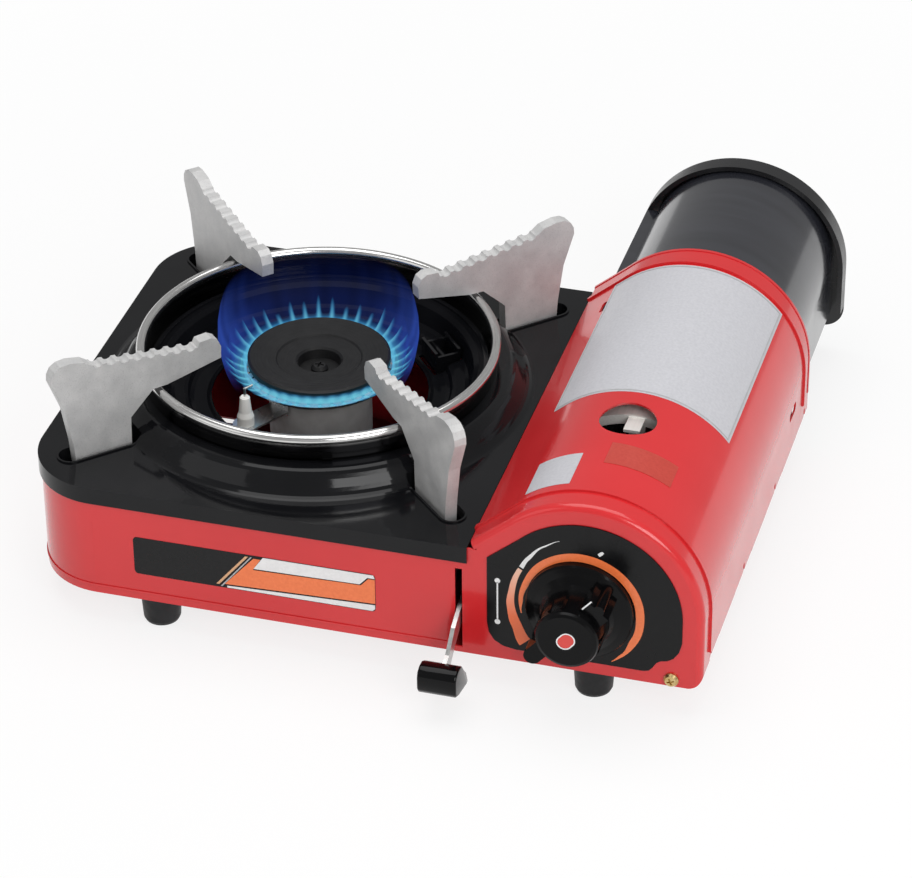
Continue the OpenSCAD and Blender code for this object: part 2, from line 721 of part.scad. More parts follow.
lead_d = 2.2;
lead_sides = 8;
lead_points = [
    [piezo_x, piezo_y + 33, piezo_z], [piezo_x, piezo_y + 38, piezo_z], [piezo_x - 2, piezo_y + 45, 41],
    [99, -37, 40], [94, -28, 39], [87, -22, 38], [79, -20, 38], [68, -22, 37], [52, -28, 35],
    [34, -36, 34], [16, -42, 34], [0, -45, 34], [-12, -43, 36], [-18, -38, 40],
    [electrode[0], electrode[1], 44], [electrode[0], electrode[1], electrode_low]];

// points of the lead's centre line, rounded between the chosen points
function catmull(p0, p1, p2, p3, t) =
    0.5 * (2 * p1 + (p2 - p0) * t + (2 * p0 - 5 * p1 + 4 * p2 - p3) * t * t
    + (3 * p1 - p0 - 3 * p2 + p3) * t * t * t);
lead_n = len(lead_points);
lead_path = [for (i = [0:lead_n - 2]) for (k = [0:2])
    catmull(lead_points[max(i - 1, 0)], lead_points[i], lead_points[i + 1],
        lead_points[min(i + 2, lead_n - 1)], k / 3), lead_points[lead_n - 1]];

module igniter_lead() {
    m = len(lead_path);
    dir = [for (i = [0:m - 1]) let (d = lead_path[min(i + 1, m - 1)] - lead_path[max(i - 1, 0)]) d / norm(d)];
    side = [for (i = [0:m - 1]) let (s = cross(dir[i], [0.31, 0.17, 0.93])) s / norm(s)];
    up = [for (i = [0:m - 1]) cross(side[i], dir[i])];
    rings = [for (i = [0:m - 1]) for (k = [0:lead_sides - 1])
        let (a = 360 * k / lead_sides) lead_path[i] + (cos(a) * side[i] + sin(a) * up[i]) * lead_d / 2];
    walls = [for (i = [0:m - 2]) for (k = [0:lead_sides - 1]) let (n = (k + 1) % lead_sides)
        each [[i * lead_sides + k, (i + 1) * lead_sides + k, (i + 1) * lead_sides + n],
              [i * lead_sides + k, (i + 1) * lead_sides + n, i * lead_sides + n]]];
    first = [for (k = [1:lead_sides - 2]) [0, k, k + 1]];
    last = [for (k = [1:lead_sides - 2]) let (b = (m - 1) * lead_sides) [b, b + k + 1, b + k]];
    color([0.85, 0.85, 0.82]) place() polyhedron(points = rings, faces = concat(walls, first, last));
}

module igniter_electrode() {
    // white ceramic insulator with a wide collar and a stepped tip
    color([0.95, 0.95, 0.93]) place() translate([electrode[0], electrode[1], 0]) rotate_extrude($fn = 32) polygon([
        [0, electrode_low], [2.2, electrode_low], [2.2, plate_z - 6], [3.4, plate_z - 5], [3.4, plate_z + 1],
        [2.6, plate_z + 3], [2, electrode_top - 0.6], [1.4, electrode_top], [0, electrode_top]]);
}

module electrode_wire() {
    color([0.6, 0.6, 0.6]) place() translate([electrode[0], electrode[1], electrode_top]) {
        cylinder(r = 0.5, h = 3.5, $fn = 16);
        translate([0, 0, 3.2]) rotate([0, 90, 58.8]) cylinder(r = 0.5, h = 4, $fn = 16);
    }
}

module electrode_bracket() {
    // folded clip from the burner's wall to the insulator
    a = atan2(electrode[1], electrode[0]);
    r = norm(electrode);
    color([0.8, 0.8, 0.78]) place() rotate([0, 0, a]) difference() {
        union() {
            block([20.5, -5, plate_z - 5], [21.3, 5, plate_z + 3.5]);
            block([20.5, -5, plate_z - 3.6], [r + 1, 5, plate_z - 3.6 + sheet]);
            translate([r, 0, plate_z - 3.6]) cylinder(r = 5.2, h = sheet, $fn = 48);
        }
        translate([r, 0, plate_z - 6]) cylinder(r = 3.45, h = 4, $fn = 48);
    }
}

// ---------- heat panel and partition ----------

heat_deg = 40;
heat_r = 47;

module heat_panel() {
    z = plate_z - 6;
    color([0.08, 0.08, 0.09]) place() rotate([0, 0, heat_deg]) translate([heat_r, 0, 0]) {
        // open box that stands up through the pan
        block([0, -7, z], [11, 7, z + 1.2]);
        block([0, -7, z], [1.2, 7, z + 10]);
        block([9.8, -7, z], [11, 7, z + 10]);
        block([0, -7, z], [11, -5.8, z + 8]);
        block([0, 5.8, z], [11, 7, z + 8]);
        // foot that stands on the tray
        block([4, -7, floor_z], [5.2, 7, z + 0.5]);
        block([-2, -7, floor_z], [5.2, 7, floor_z + 1.2]);
        // small rod across the box
        translate([5.4, -6, z + 5]) rotate([-90, 0, 0]) cylinder(r = 1.3, h = 12, $fn = 32);
    }
}

module partition() {
    y0 = face_y + sheet;
    y1 = rear_y - sheet;
    x = part_x;
    color([0.7, 0.7, 0.68]) place() difference() {
        union() {
            block([x, y0, floor_z], [x + sheet, y1, plate_z - pocket_h - gap]);
            block([x - 8, y0, floor_z], [x + sheet, y1, floor_z + sheet]);
        }
        // window for the mixing tube
        rod_x(x * tan(mix_deg), mix_z, mix_r + 4, x - 1, x + 2);
        // hole for the igniter's lead
        rod_x(-20, 38, 3, x - 1, x + 2);
    }
}

// ---------- lock lever ----------

module lever_section() {
    // drawn in Y and Z: hub, arm for the carriage, strip through the slot
    translate([pivot_y, pivot_z]) circle(r = 5.5, $fn = 48);
    polygon([
        [pivot_y - 3, pivot_z + 4.4], [face_y + 2, pivot_z - 5], [face_y - 8, pivot_z - 9.5],
        [face_y - 16, pivot_z - 16.5], [face_y - 23, pivot_z - 18.5], [face_y - 23, pivot_z - 22.5],
        [face_y - 14, pivot_z - 22], [face_y - 8, pivot_z - 17.5], [face_y + 1, pivot_z - 13],
        [pivot_y + 1, pivot_z - 5.3]]);
    translate([pivot_y - 3.2, pivot_z]) square([6.4, arm_h]);
    translate([pivot_y, pivot_z + arm_h]) circle(r = 3.2, $fn = 32);
}

module lock_lever() {
    color([0.75, 0.75, 0.74]) place() {
        difference() {
            along_x(lever_x - lever_t / 2, lever_x + lever_t / 2) lever_section();
            rod_x(pivot_y, pivot_z, pin_r + running, lever_x - 3, lever_x + 3);
        }
        rod_x(pivot_y, pivot_z + arm_h, link_pin_r, lever_x, link_x + 2.4);
    }
}

module lever_handle() {
    z = pivot_z - 25.5;
    color([0.04, 0.04, 0.05]) place() difference() {
        along_x(lever_x - 8.4, lever_x + 6.8) polygon([
            [face_y - 14, z + 8], [face_y - 15.5, z + 10], [face_y - 18.5, z + 10.8], [face_y - 23, z + 9.6],
            [handle_front + 1, z + 6.2], [handle_front, z + 4.8], [handle_front, z + 1.6],
            [handle_front + 1.2, z + 0.2], [face_y - 18, z - 0.6], [face_y - 15, z + 0.2], [face_y - 13.8, z + 1.6]]);
        along_x(lever_x - lever_t / 2, lever_x + lever_t / 2) lever_section();
    }
}

module lever_pivot_pin() {
    x0 = part_x + sheet;
    color([0.65, 0.65, 0.66]) place() {
        rod_x(pivot_y, pivot_z, pin_r, x0, lever_x + 3);
        rod_x(pivot_y, pivot_z, pin_r + 1.5, lever_x + lever_t / 2 + gap, lever_x + 3);
    }
}

module lever_spacer() {
    x0 = part_x + sheet;
    color([0.7, 0.7, 0.7]) place() difference() {
        union() {
            rod_x(pivot_y, pivot_z, spacer_r, x0, lever_x - lever_t / 2 - gap);
            block([x0, pivot_y - 9, pivot_z - 7], [x0 + 1.2, pivot_y + 9, pivot_z + 7]);
        }
        rod_x(pivot_y, pivot_z, pin_r + 0.02, x0 - 1, lever_x);
    }
}

// ---------- cartridge carriage ----------

carriage_y = -22;
carriage_t = 1.2;
carriage_r = cartridge_r - 0.5;
tongue_x = barrel_x + 1;

module cartridge_carriage() {
    z = pivot_z + arm_h;
    color([0.86, 0.86, 0.85]) place() difference() {
        union() {
            along_y(carriage_y, carriage_y + carriage_t) {
                translate([barrel_x, cartridge_z]) circle(r = carriage_r, $fn = 96);
                translate([link_x, z - 5]) square([barrel_x - link_x, 9]);
                translate([barrel_x - 12, floor_z + sheet + gap]) square([24, 20]);
            }
            // turned rim over the cartridge's shoulder
            along_y(carriage_y, carriage_y + 9.5) intersection() {
                difference() {
                    translate([barrel_x, cartridge_z]) circle(r = carriage_r, $fn = 96);
                    translate([barrel_x, cartridge_z]) circle(r = carriage_r - carriage_t, $fn = 96);
                }
                translate([barrel_x - cartridge_r, cartridge_z + 8]) square([2 * cartridge_r, cartridge_r]);
            }
            // tongue that lines up with the notch of the cartridge's collar
            block([tongue_x - 3.2, carriage_y - 9, cartridge_z + carriage_r - 2],
                [tongue_x + 3.2, carriage_y + 1, cartridge_z + carriage_r - 0.8]);
            // link to the lock lever
            block([link_x, pivot_y - 4, z - 5], [link_x + carriage_t, carriage_y + carriage_t, z + 4]);
        }
        along_y(carriage_y - 1, carriage_y + 3) difference() {
            translate([barrel_x, cartridge_z]) circle(r = carriage_r - 4, $fn = 96);
            translate([tongue_x - 3.2, cartridge_z + 20]) square([6.4, 12]);
        }
        // upright slot for the lever's pin
        along_x(link_x - 1, link_x + 3) {
            translate([pivot_y, z]) circle(r = link_pin_r + gap, $fn = 32);
            translate([pivot_y, z - 1.6]) circle(r = link_pin_r + gap, $fn = 32);
            translate([pivot_y - link_pin_r - gap, z - 1.6]) square([2 * (link_pin_r + gap), 1.6]);
        }
    }
}

module cartridge_cradle() {
    // pressed ribs on the floor that the cartridge lies on
    y0 = -12;
    y1 = 84;
    x = 16;
    z = cartridge_z - sqrt(cartridge_r * cartridge_r - x * x) - gap;
    color([0.72, 0.72, 0.7]) place() {
        block([barrel_x - 24, carriage_y - 8, floor_z], [barrel_x + 24, y1, floor_z + sheet]);
        for (s = [-1, 1]) along_y(y0, y1) polygon([
            [barrel_x + s * (x - 2), floor_z + sheet], [barrel_x + s * (x - 0.5), z - 0.6], [barrel_x + s * (x + 1.5), z],
            [barrel_x + s * (x + 3), floor_z + sheet]]);
    }
}

module slide_rails() {
    // two C rails that carry the inturned flanges of the cover
    low = cover_low - gap;
    high = cover_low + sheet + gap;
    a = flange_in - 2;
    color([0.7, 0.7, 0.69]) place() for (s = [-1, 1]) along_y(rail_front, rear_y - sheet - gap)
        translate([barrel_x, 0]) mirror([s < 0 ? 1 : 0, 0]) {
            translate([a, floor_z]) square([sheet, high + sheet - floor_z]);
            translate([a, low - sheet]) square([cover_r - 0.8 - a, sheet]);
            translate([a, high]) square([cover_r - 2 - a, sheet]);
            translate([a - 6, floor_z]) square([6, sheet]);
        }
}

// ---------- cartridge lid ----------

module cartridge_lid() {
    color("crimson") place() difference() {
        union() {
            along_y(lid_front, lid_back) barrel_skin(0, sheet, lid_left_low, lid_low);
            // stiffening bead near the back
            along_y(lid_back - 12, lid_back - 9.5) barrel_skin(-0.5, 0.5 + sheet, plate_z + 1, hinge_z + 8);
            along_y(lid_back - 11.5, lid_back - 10) barrel_skin(-0.8, 0.8 + sheet, plate_z + 1, hinge_z + 8);
            // rolled back edge
            along_y(lid_back - 1.4, lid_back) barrel_skin(-0.3, 0.3 + sheet, plate_z + 1, hinge_z + 8);
            // hinge knuckles
            for (i = [0:knuckles - 1]) rod_y(hinge_x, hinge_z, knuckle_r, knuckle_y(i), knuckle_y(i) + knuckle_w);
        }
        for (i = [0:knuckles - 1])
            rod_y(hinge_x, hinge_z, rod_r + running, knuckle_y(i) - 1, knuckle_y(i) + knuckle_w + 1);
        // room for the tray's lugs
        for (y = hinge_lugs())
            block([hinge_x - 4, y - gap, hinge_z - 4], [barrel_right + 1, y + lug_w + gap, hinge_z + 3.2]);
        // round viewing hole over the cartridge's notch
        translate([barrel_x, y_front + 63.6, barrel_z]) cylinder(d = view_hole_d, h = lid_r + 5);
        // small vents
        translate([barrel_x, y_front + 164, barrel_z]) rotate([0, -50, 0]) translate([0, 0, lid_r - 8])
            linear_extrude(12) vent_shape(2.6, 5.4);
        translate([barrel_right + 2, y_front + 161, barrel_z - 5.6]) rotate([0, -90, 0]) linear_extrude(6)
            vent_shape(4.2, 7.8);
    }
}

module vent_shape(wide, long) {
    square([wide, long], center = true);
    for (y = [-long / 2, long / 2]) translate([0, y]) circle(d = wide, $fn = 24);
}

function knuckle_y(i) = lid_front + 1 + lug_w + i * hinge_pitch() + (hinge_pitch() - lug_w - knuckle_w) / 2;

module lid_hinge_rod() {
    color([0.75, 0.75, 0.75]) place() rod_y(hinge_x, hinge_z, rod_r, lid_front, rear_y - sheet - gap);
}

// ---------- sliding cover ----------

module cover_section(in) {
    r = cover_r - in;
    intersection() {
        translate([barrel_x, cover_z]) circle(r = r, $fn = 128);
        translate([barrel_x - r, cover_z]) square([2 * r, r + 1]);
    }
    translate([barrel_x - r, cover_low - in * 5]) square([2 * r, cover_z - cover_low + in * 5]);
}

side_rail_z = plate_z - 2.2;
side_rail_out = 40.6;

module sliding_cover() {
    color([0.13, 0.13, 0.15]) place() {
        along_y(cover_front, cover_back - cap_wall) difference() {
            cover_section(0);
            cover_section(sheet);
        }
        for (s = [-1, 1]) along_y(cover_front, cover_back - cap_wall) translate([barrel_x, 0])
            mirror([s < 0 ? 1 : 0, 0]) translate([flange_in, cover_low]) square([cover_r - flange_in, sheet]);
        // side rail on the left, beside the arch
        along_y(cover_front + 6, cover_back - end_depth - gap) {
            translate([barrel_x - side_rail_out, side_rail_z]) square([5.4, sheet]);
            translate([barrel_x - side_rail_out, side_rail_z - 7]) square([sheet, 7]);
        }
    }
}

end_r = lid_r - 0.5;
end_z = barrel_z - 0.4;
end_low = base_z - 1.5;
end_depth = 8.5;

module end_section(in) {
    r = end_r - in;
    c = 9;
    intersection() {
        translate([barrel_x, end_z]) circle(r = r, $fn = 128);
        translate([barrel_x - r, end_z]) square([2 * r, r + 1]);
    }
    translate([barrel_x - r, end_low + c]) square([2 * r, end_z - end_low - c]);
    translate([barrel_x - end_r + c, end_low + in]) square([2 * (end_r - c), c - in]);
    for (s = [-1, 1]) translate([barrel_x + s * (end_r - c), end_low + c]) circle(r = c - in, $fn = 48);
}

module cover_end_cap() {
    y0 = cover_back - cap_wall;
    color([0.09, 0.09, 0.1]) place() difference() {
        union() {
            along_y(y0, cover_back) end_section(1);
            along_y(y0, cover_back - 0.6) end_section(0);
            along_y(cover_back - end_depth, y0) difference() {
                end_section(0);
                end_section(2);
                translate([barrel_x - 60, base_z - 5]) square([120, 14]);
            }
            // heel that backs the cartridge
            rod_y(barrel_x, cartridge_z - 8, 9, y0 - 5, y0 + 0.5);
        }
        // finger notches in the lower edge of the back
        along_y(y0 - 1, cover_back + 1) translate([barrel_x, end_low - 6]) circle(r = 12, $fn = 64);
        along_y(cover_back - 0.8, cover_back + 1) difference() {
            translate([barrel_x, end_z]) circle(r = 33, $fn = 96);
            translate([barrel_x, end_z]) circle(r = 31, $fn = 96);
        }
    }
}

// ---------- pan supports ----------

tip_r = 43.5;
arm_z = plate_z + 33.5;

module support_outline() {
    top = plate_z + support_rise;
    shoulder = support_r - 17;
    out = support_r - 3.6;
    difference() {
        union() {
            // leg, arm and rounded outer horn
            polygon([
                [slot_in + 3.5, support_foot], [support_r - 8.4, support_foot], [support_r - 7.4, plate_z + 6],
                [out - 1.2, plate_z + 22], [support_r, top - 7.4], [support_r - 0.2, top - 4.6],
                [support_r - 1.6, top - 2], [support_r - 4.2, top - 0.4], [support_r - 8, top],
                [support_r - 14, top - 1.2], [shoulder, top - 3.4],
                [tip_r + 10, arm_z], [tip_r + 9, arm_z + 2], [tip_r + 4, arm_z + 2.4], [tip_r + 1.4, arm_z + 1],
                [tip_r, arm_z - 2.4], [tip_r + 0.2, plate_z + 26], [rim_r - 5, rim_z + 1], [rim_r + 1, rim_z + 0.8],
                [slot_in + 3, plate_z + 11]]);
        }
        // V notches with round bottoms, evenly spaced down the sloping edge
        for (i = [0:notches - 1]) {
            t = (i + 0.5) / notches;
            x = shoulder + (tip_r + 10 - shoulder) * t;
            z = top - 3.4 + (arm_z - top + 3.4) * t;
            translate([x, z + 0.9]) circle(r = 2.1, $fn = 24);
        }
    }
}

module pan_support(i) {
    color([0.72, 0.71, 0.7]) place() at_heading(i) translate([0, support_t / 2, 0]) rotate([90, 0, 0])
        linear_extrude(support_t) support_outline();
}

module pan_support_front_left() {
    pan_support(0);
}

module pan_support_front_right() {
    pan_support(1);
}

module pan_support_back_left() {
    pan_support(2);
}

module pan_support_back_right() {
    pan_support(3);
}

// ---------- feet and screws ----------

foot_r = 8;
foot_y0 = face_y + foot_r + 0.3;
foot_y1 = rear_y - foot_r - 4;
foot_x0 = -38.5;
foot_x1 = barrel_x + 1.5;

module foot(x, y) {
    color([0.08, 0.08, 0.09]) place() translate([x, y, 0]) difference() {
        rotate_extrude($fn = 48) polygon([
            [0, 0], [foot_r - 2.6, 0], [foot_r - 1.3, 0.5], [foot_r - 0.7, 1.8], [foot_r, base_z], [0, base_z]]);
        translate([0, 0, -1]) cylinder(r = 2.6, h = base_z - 4);
    }
}

module foot_front_left() {
    foot(foot_x0, foot_y0);
}

module foot_front_right() {
    foot(foot_x1, foot_y0);
}

module foot_back_left() {
    foot(foot_x0, foot_y1);
}

module foot_back_right() {
    foot(foot_x1, foot_y1);
}

module tray_screws() {
    // screws up through the feet into the tray
    color([0.7, 0.7, 0.68]) place() for (x = [foot_x0, foot_x1]) for (y = [foot_y0, foot_y1])
        translate([x, y, base_z - 7]) difference() {
            cylinder(r = 2.4, h = 2, $fn = 32);
            for (a = [0, 90]) rotate([0, 0, a]) block([-1.6, -0.3, -1], [1.6, 0.3, 0.9]);
        }
}

chassis();
top_plate();
windshield_ring();
drip_pan();
burner_body();
flame_ring();
burner_cap();
cap_screw();
mixing_tube();
gas_nozzle();
regulator_body();
diaphragm_cover();
regulator_bracket();
regulator_screws();
valve_shaft();
control_knob();
knob_marker();
dial_plate();
panel_screw();
piezo_igniter();
igniter_lead();
igniter_electrode();
electrode_wire();
electrode_bracket();
heat_panel();
partition();
lock_lever();
lever_handle();
lever_pivot_pin();
lever_spacer();
cartridge_carriage();
cartridge_cradle();
slide_rails();
cartridge_lid();
lid_hinge_rod();
sliding_cover();
cover_end_cap();
pan_support_front_left();
pan_support_front_right();
pan_support_back_left();
pan_support_back_right();
foot_front_left();
foot_front_right();
foot_back_left();
foot_back_right();
tray_screws();
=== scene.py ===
import math
import bmesh
import bpy
from mathutils import Matrix, Vector


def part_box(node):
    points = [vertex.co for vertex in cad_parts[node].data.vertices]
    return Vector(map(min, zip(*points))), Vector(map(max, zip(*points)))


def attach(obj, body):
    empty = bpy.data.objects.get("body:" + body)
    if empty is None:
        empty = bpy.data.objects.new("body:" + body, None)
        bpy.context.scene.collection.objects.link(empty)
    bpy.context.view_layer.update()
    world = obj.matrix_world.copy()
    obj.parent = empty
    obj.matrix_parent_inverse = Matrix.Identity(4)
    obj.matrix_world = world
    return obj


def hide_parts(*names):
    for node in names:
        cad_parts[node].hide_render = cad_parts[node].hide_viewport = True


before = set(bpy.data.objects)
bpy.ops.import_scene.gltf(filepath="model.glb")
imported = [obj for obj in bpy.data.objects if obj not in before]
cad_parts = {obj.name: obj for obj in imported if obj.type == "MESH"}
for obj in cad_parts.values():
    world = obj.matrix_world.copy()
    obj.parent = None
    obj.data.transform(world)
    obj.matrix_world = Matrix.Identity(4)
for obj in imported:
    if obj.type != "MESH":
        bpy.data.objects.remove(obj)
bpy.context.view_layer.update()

MM = 0.001

# the burner's upright axis, in metres; every piece below is placed from it
cap_lo, cap_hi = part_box("burner_cap")
BX = (cap_lo[0] + cap_hi[0]) / 2
BY = (cap_lo[1] + cap_hi[1]) / 2


def at(x, y, z):
    """A point measured in millimetres from the burner's axis, in the frame."""
    return Vector((BX + x * MM, BY + y * MM, z * MM))


# ---------------------------------------------------------------- camera

# where it stands, in degrees: turned about the upright axis, raised, and tilted about its line of sight
AZIMUTH, ELEVATION, ROLL = 16.25, 33.42, -0.53
# the point it looks at and the distance from there, in millimetres
LOOK_AT, DISTANCE = (55.93, -0.04, 44.13), 1565.67
# focal length and width of the picture in pixels, and width of the sensor in millimetres
FOCAL_PX, PICTURE_PX, SENSOR = 3958.85, 912, 36


def make_camera():
    az, el, roll = math.radians(AZIMUTH), math.radians(ELEVATION), math.radians(ROLL)
    forward = Vector((-math.sin(az) * math.cos(el), math.cos(az) * math.cos(el), -math.sin(el)))
    right = Vector((math.cos(az), math.sin(az), 0))
    up = right.cross(forward)
    c, s = math.cos(roll), math.sin(roll)
    right, up = c * right + s * up, -s * right + c * up
    data = bpy.data.cameras.new("camera")
    data.sensor_width = SENSOR
    data.lens = SENSOR * FOCAL_PX / PICTURE_PX
    data.clip_start = 0.05
    data.clip_end = 20
    camera = bpy.data.objects.new("camera", data)
    bpy.context.scene.collection.objects.link(camera)
    pose = Matrix((right, up, -forward)).transposed().to_4x4()
    pose.translation = at(*LOOK_AT) - forward * DISTANCE * MM
    camera.matrix_world = pose
    bpy.context.scene.camera = camera


make_camera()

# ---------------------------------------------------------------- node trees

# sockets of a Mix node for colours: its factor, the two colours and the result
MIX_FACTOR, MIX_FIRST, MIX_SECOND, MIX_RESULT = 0, 6, 7, 2


def socket(node, name, value):
    node.inputs[name].default_value = value


class Nodes:
    """The node tree of a material or the world, emptied, with short calls to fill it."""

    def __init__(self, owner):
        owner.use_nodes = True
        self.tree = owner.node_tree
        self.tree.nodes.clear()

    def add(self, kind, **props):
        node = self.tree.nodes.new(kind)
        for k, v in props.items():
            setattr(node, k, v)
        return node

    def link(self, a, b):
        self.tree.links.new(a, b)

    def length(self, vector):
        n = self.add("ShaderNodeVectorMath", operation="LENGTH")
        self.link(vector, n.inputs[0])
        return n.outputs["Value"]

    def spread(self, value, low, high, start=0.3, end=0.7):
        """Maps a value from start..end, as a noise mostly has, to low..high."""
        n = self.add("ShaderNodeMapRange")
        self.link(value, n.inputs["Value"])
        for k, v in (("From Min", start), ("From Max", end), ("To Min", low), ("To Max", high)):
            socket(n, k, v)
        return n.outputs[0]

    def blend(self, factor, a, b):
        """Mixes two colours by a factor; each may be a colour or another node's output."""
        n = self.add("ShaderNodeMix", data_type="RGBA")
        self.link(factor, n.inputs[MIX_FACTOR])
        for value, place in ((a, n.inputs[MIX_FIRST]), (b, n.inputs[MIX_SECOND])):
            if isinstance(value, tuple):
                place.default_value = (*value, 1.0)
            else:
                self.link(value, place)
        return n.outputs[MIX_RESULT]

    def end_with(self, kind, factor, a, b):
        """Ends the tree in an output that shows a at factor 0 and b at factor 1."""
        out = self.add(kind)
        mix = self.add("ShaderNodeMixShader")
        self.link(factor, mix.inputs[0])
        self.link(a.outputs[0], mix.inputs[1])
        self.link(b.outputs[0], mix.inputs[2])
        self.link(mix.outputs[0], out.inputs[0])


class Paint(Nodes):
    """A material for a solid surface. Scales are in features to the metre, depths in metres."""

    def __init__(self, name):
        self.mat = bpy.data.materials.new(name)
        super().__init__(self.mat)
        out = self.add("ShaderNodeOutputMaterial")
        self.bsdf = self.add("ShaderNodeBsdfPrincipled")
        self.link(self.bsdf.outputs[0], out.inputs[0])
        self.coord = self.add("ShaderNodeTexCoord").outputs["Object"]
        self.bump_out = None

    def scaled(self, scale):
        """The coordinates times one scale, or times one for each axis."""
        m = self.add("ShaderNodeMapping")
        socket(m, "Scale", scale if isinstance(scale, tuple) else (scale,) * 3)
        self.link(self.coord, m.inputs[0])
        return m.outputs[0]

    def noise_over(self, vector, detail, rough):
        n = self.add("ShaderNodeTexNoise")
        socket(n, "Scale", 1.0)
        socket(n, "Detail", detail)
        socket(n, "Roughness", rough)
        self.link(vector, n.inputs["Vector"])
        return n.outputs["Fac"]

    def noise(self, scale, detail, rough=0.5):
        return self.noise_over(self.scaled(scale), detail, rough)

    def split(self, vector):
        """The three parts of a vector."""
        n = self.add("ShaderNodeSeparateXYZ")
        self.link(vector, n.inputs[0])
        return n.outputs

    def times(self, value, factor):
        n = self.add("ShaderNodeMath", operation="MULTIPLY")
        self.link(value, n.inputs[0])
        n.inputs[1].default_value = factor
        return n.outputs[0]

    def ring_coord(self, radial, around, height):
        """Coordinates about the burner's axis: radius, angle and height, each times its scale."""
        from_axis = self.add("ShaderNodeVectorMath", operation="SUBTRACT")
        self.link(self.coord, from_axis.inputs[0])
        from_axis.inputs[1].default_value = (BX, BY, 0)
        x, y, z = self.split(from_axis.outputs[0])
        flat = self.add("ShaderNodeCombineXYZ")
        self.link(x, flat.inputs[0])
        self.link(y, flat.inputs[1])
        radius = self.length(flat.outputs[0])
        angle = self.add("ShaderNodeMath", operation="ARCTAN2")
        self.link(y, angle.inputs[0])
        self.link(x, angle.inputs[1])
        join = self.add("ShaderNodeCombineXYZ")
        for i, (value, scale) in enumerate(((radius, radial), (angle.outputs[0], around), (z, height))):
            self.link(self.times(value, scale), join.inputs[i])
        return join.outputs[0]

    def mottled(self, noise, low, high):
        """A colour that wanders between two."""
        return self.blend(self.spread(noise, 0, 1), low, high)

    def specks(self, base, scale, start, end, share, colour):
        """A base with scattered specks of a colour, full within start and gone at end from their middles."""
        cells = self.add("ShaderNodeTexVoronoi", feature="F1")
        socket(cells, "Scale", 1.0)
        self.link(self.scaled(scale), cells.inputs["Vector"])
        near = self.spread(cells.outputs["Distance"], 1, 0, start, end)
        return self.blend(self.times(near, share), base, colour)

    def bump(self, height, strength, depth):
        n = self.add("ShaderNodeBump")
        socket(n, "Strength", strength)
        socket(n, "Distance", depth)
        self.link(height, n.inputs["Height"])
        if self.bump_out is not None:
            self.link(self.bump_out, n.inputs["Normal"])
        self.bump_out = n.outputs[0]
        self.link(self.bump_out, self.bsdf.inputs["Normal"])

    def colour(self, value):
        self.link(value, self.bsdf.inputs["Base Color"])

    def rough(self, value):
        self.link(value, self.bsdf.inputs["Roughness"])

    def set(self, **values):
        for k, v in values.items():
            socket(self.bsdf, k.replace("_", " "), v)


# ---------------------------------------------------------------- materials

# the tray's floor round the burner lies in deep shade: the red darkens between these radii, in millimetres
SHADE_INNER, SHADE_OUTER, SHADE_RED = 50, 66, (0.035, 0.004, 0.0045)

# heights on the windshield, in metres: where the painted shade at its foot ends and where its bright bead
# begins
RING_LOW, RIM_TOP = (corner[2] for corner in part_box("windshield_ring"))
FOOT_SHADE_END = RING_LOW + 0.0008, RING_LOW + 0.0012
BEAD_START = RIM_TOP - 0.0052, RIM_TOP - 0.0036


def red_paint():
    p = Paint("red_paint")
    skin = p.mottled(p.noise(14, 4, 0.55), (0.59, 0.018, 0.021), (0.65, 0.025, 0.029))
    radius = p.split(p.ring_coord(1000, 1, 1))[0]
    p.colour(p.blend(p.spread(radius, 1, 0, SHADE_INNER, SHADE_OUTER), skin, SHADE_RED))
    p.rough(p.spread(p.noise(60, 3), 0.16, 0.24))
    p.bump(p.noise(520, 2), 0.10, 0.00012)
    p.set(Coat_Weight=0.38, Coat_Roughness=0.03, Specular_IOR_Level=0.36)
    return p.mat


def black_enamel(name, specular):
    """Glossy enamel with a little pale dust."""
    p = Paint(name)
    base = p.mottled(p.noise(30, 4), (0.0036, 0.0038, 0.0046), (0.0066, 0.0067, 0.0078))
    p.colour(p.specks(base, 2600, 0.05, 0.12, 0.05, (0.22, 0.22, 0.23)))
    p.rough(p.spread(p.noise(90, 4, 0.6), 0.06, 0.11))
    p.bump(p.noise(900, 2), 0.05, 0.00010)
    p.set(Specular_IOR_Level=specular)
    return p.mat


def steel(name, low, high, rough_low, rough_high, grain=(900, 40, 900), metallic=1.0):
    """Sheet with a drawn grain that shows in its colour and its surface."""
    p = Paint(name)
    fine = p.noise(grain, 3, 0.6)
    p.colour(p.mottled(fine, low, high))
    p.rough(p.spread(p.noise(45, 4), rough_low, rough_high))
    p.bump(fine, 0.18, 0.00006)
    p.set(Metallic=metallic)
    return p.mat


def ring_steel():
    """Polished bead over a wall that reflects dark, and a foot darkened further by painted shade."""
    p = Paint("ring_steel")
    fine = p.noise_over(p.ring_coord(2600, 6, 2600), 3, 0.6)
    height = p.split(p.coord)[2]
    bright = p.mottled(fine, (0.56, 0.555, 0.55), (0.72, 0.715, 0.70))
    # painted shade: the ring's foot, where it meets the plate, is darker still than the wall
    wall = p.blend(p.spread(height, 1, 0, *FOOT_SHADE_END), (0.045, 0.045, 0.048), (0.006, 0.006, 0.0065))
    p.colour(p.blend(p.spread(height, 0, 1, *BEAD_START), wall, bright))
    p.rough(p.spread(fine, 0.12, 0.22))
    p.bump(fine, 0.10, 0.00005)
    p.set(Metallic=1.0, Anisotropic=0.3)
    return p.mat


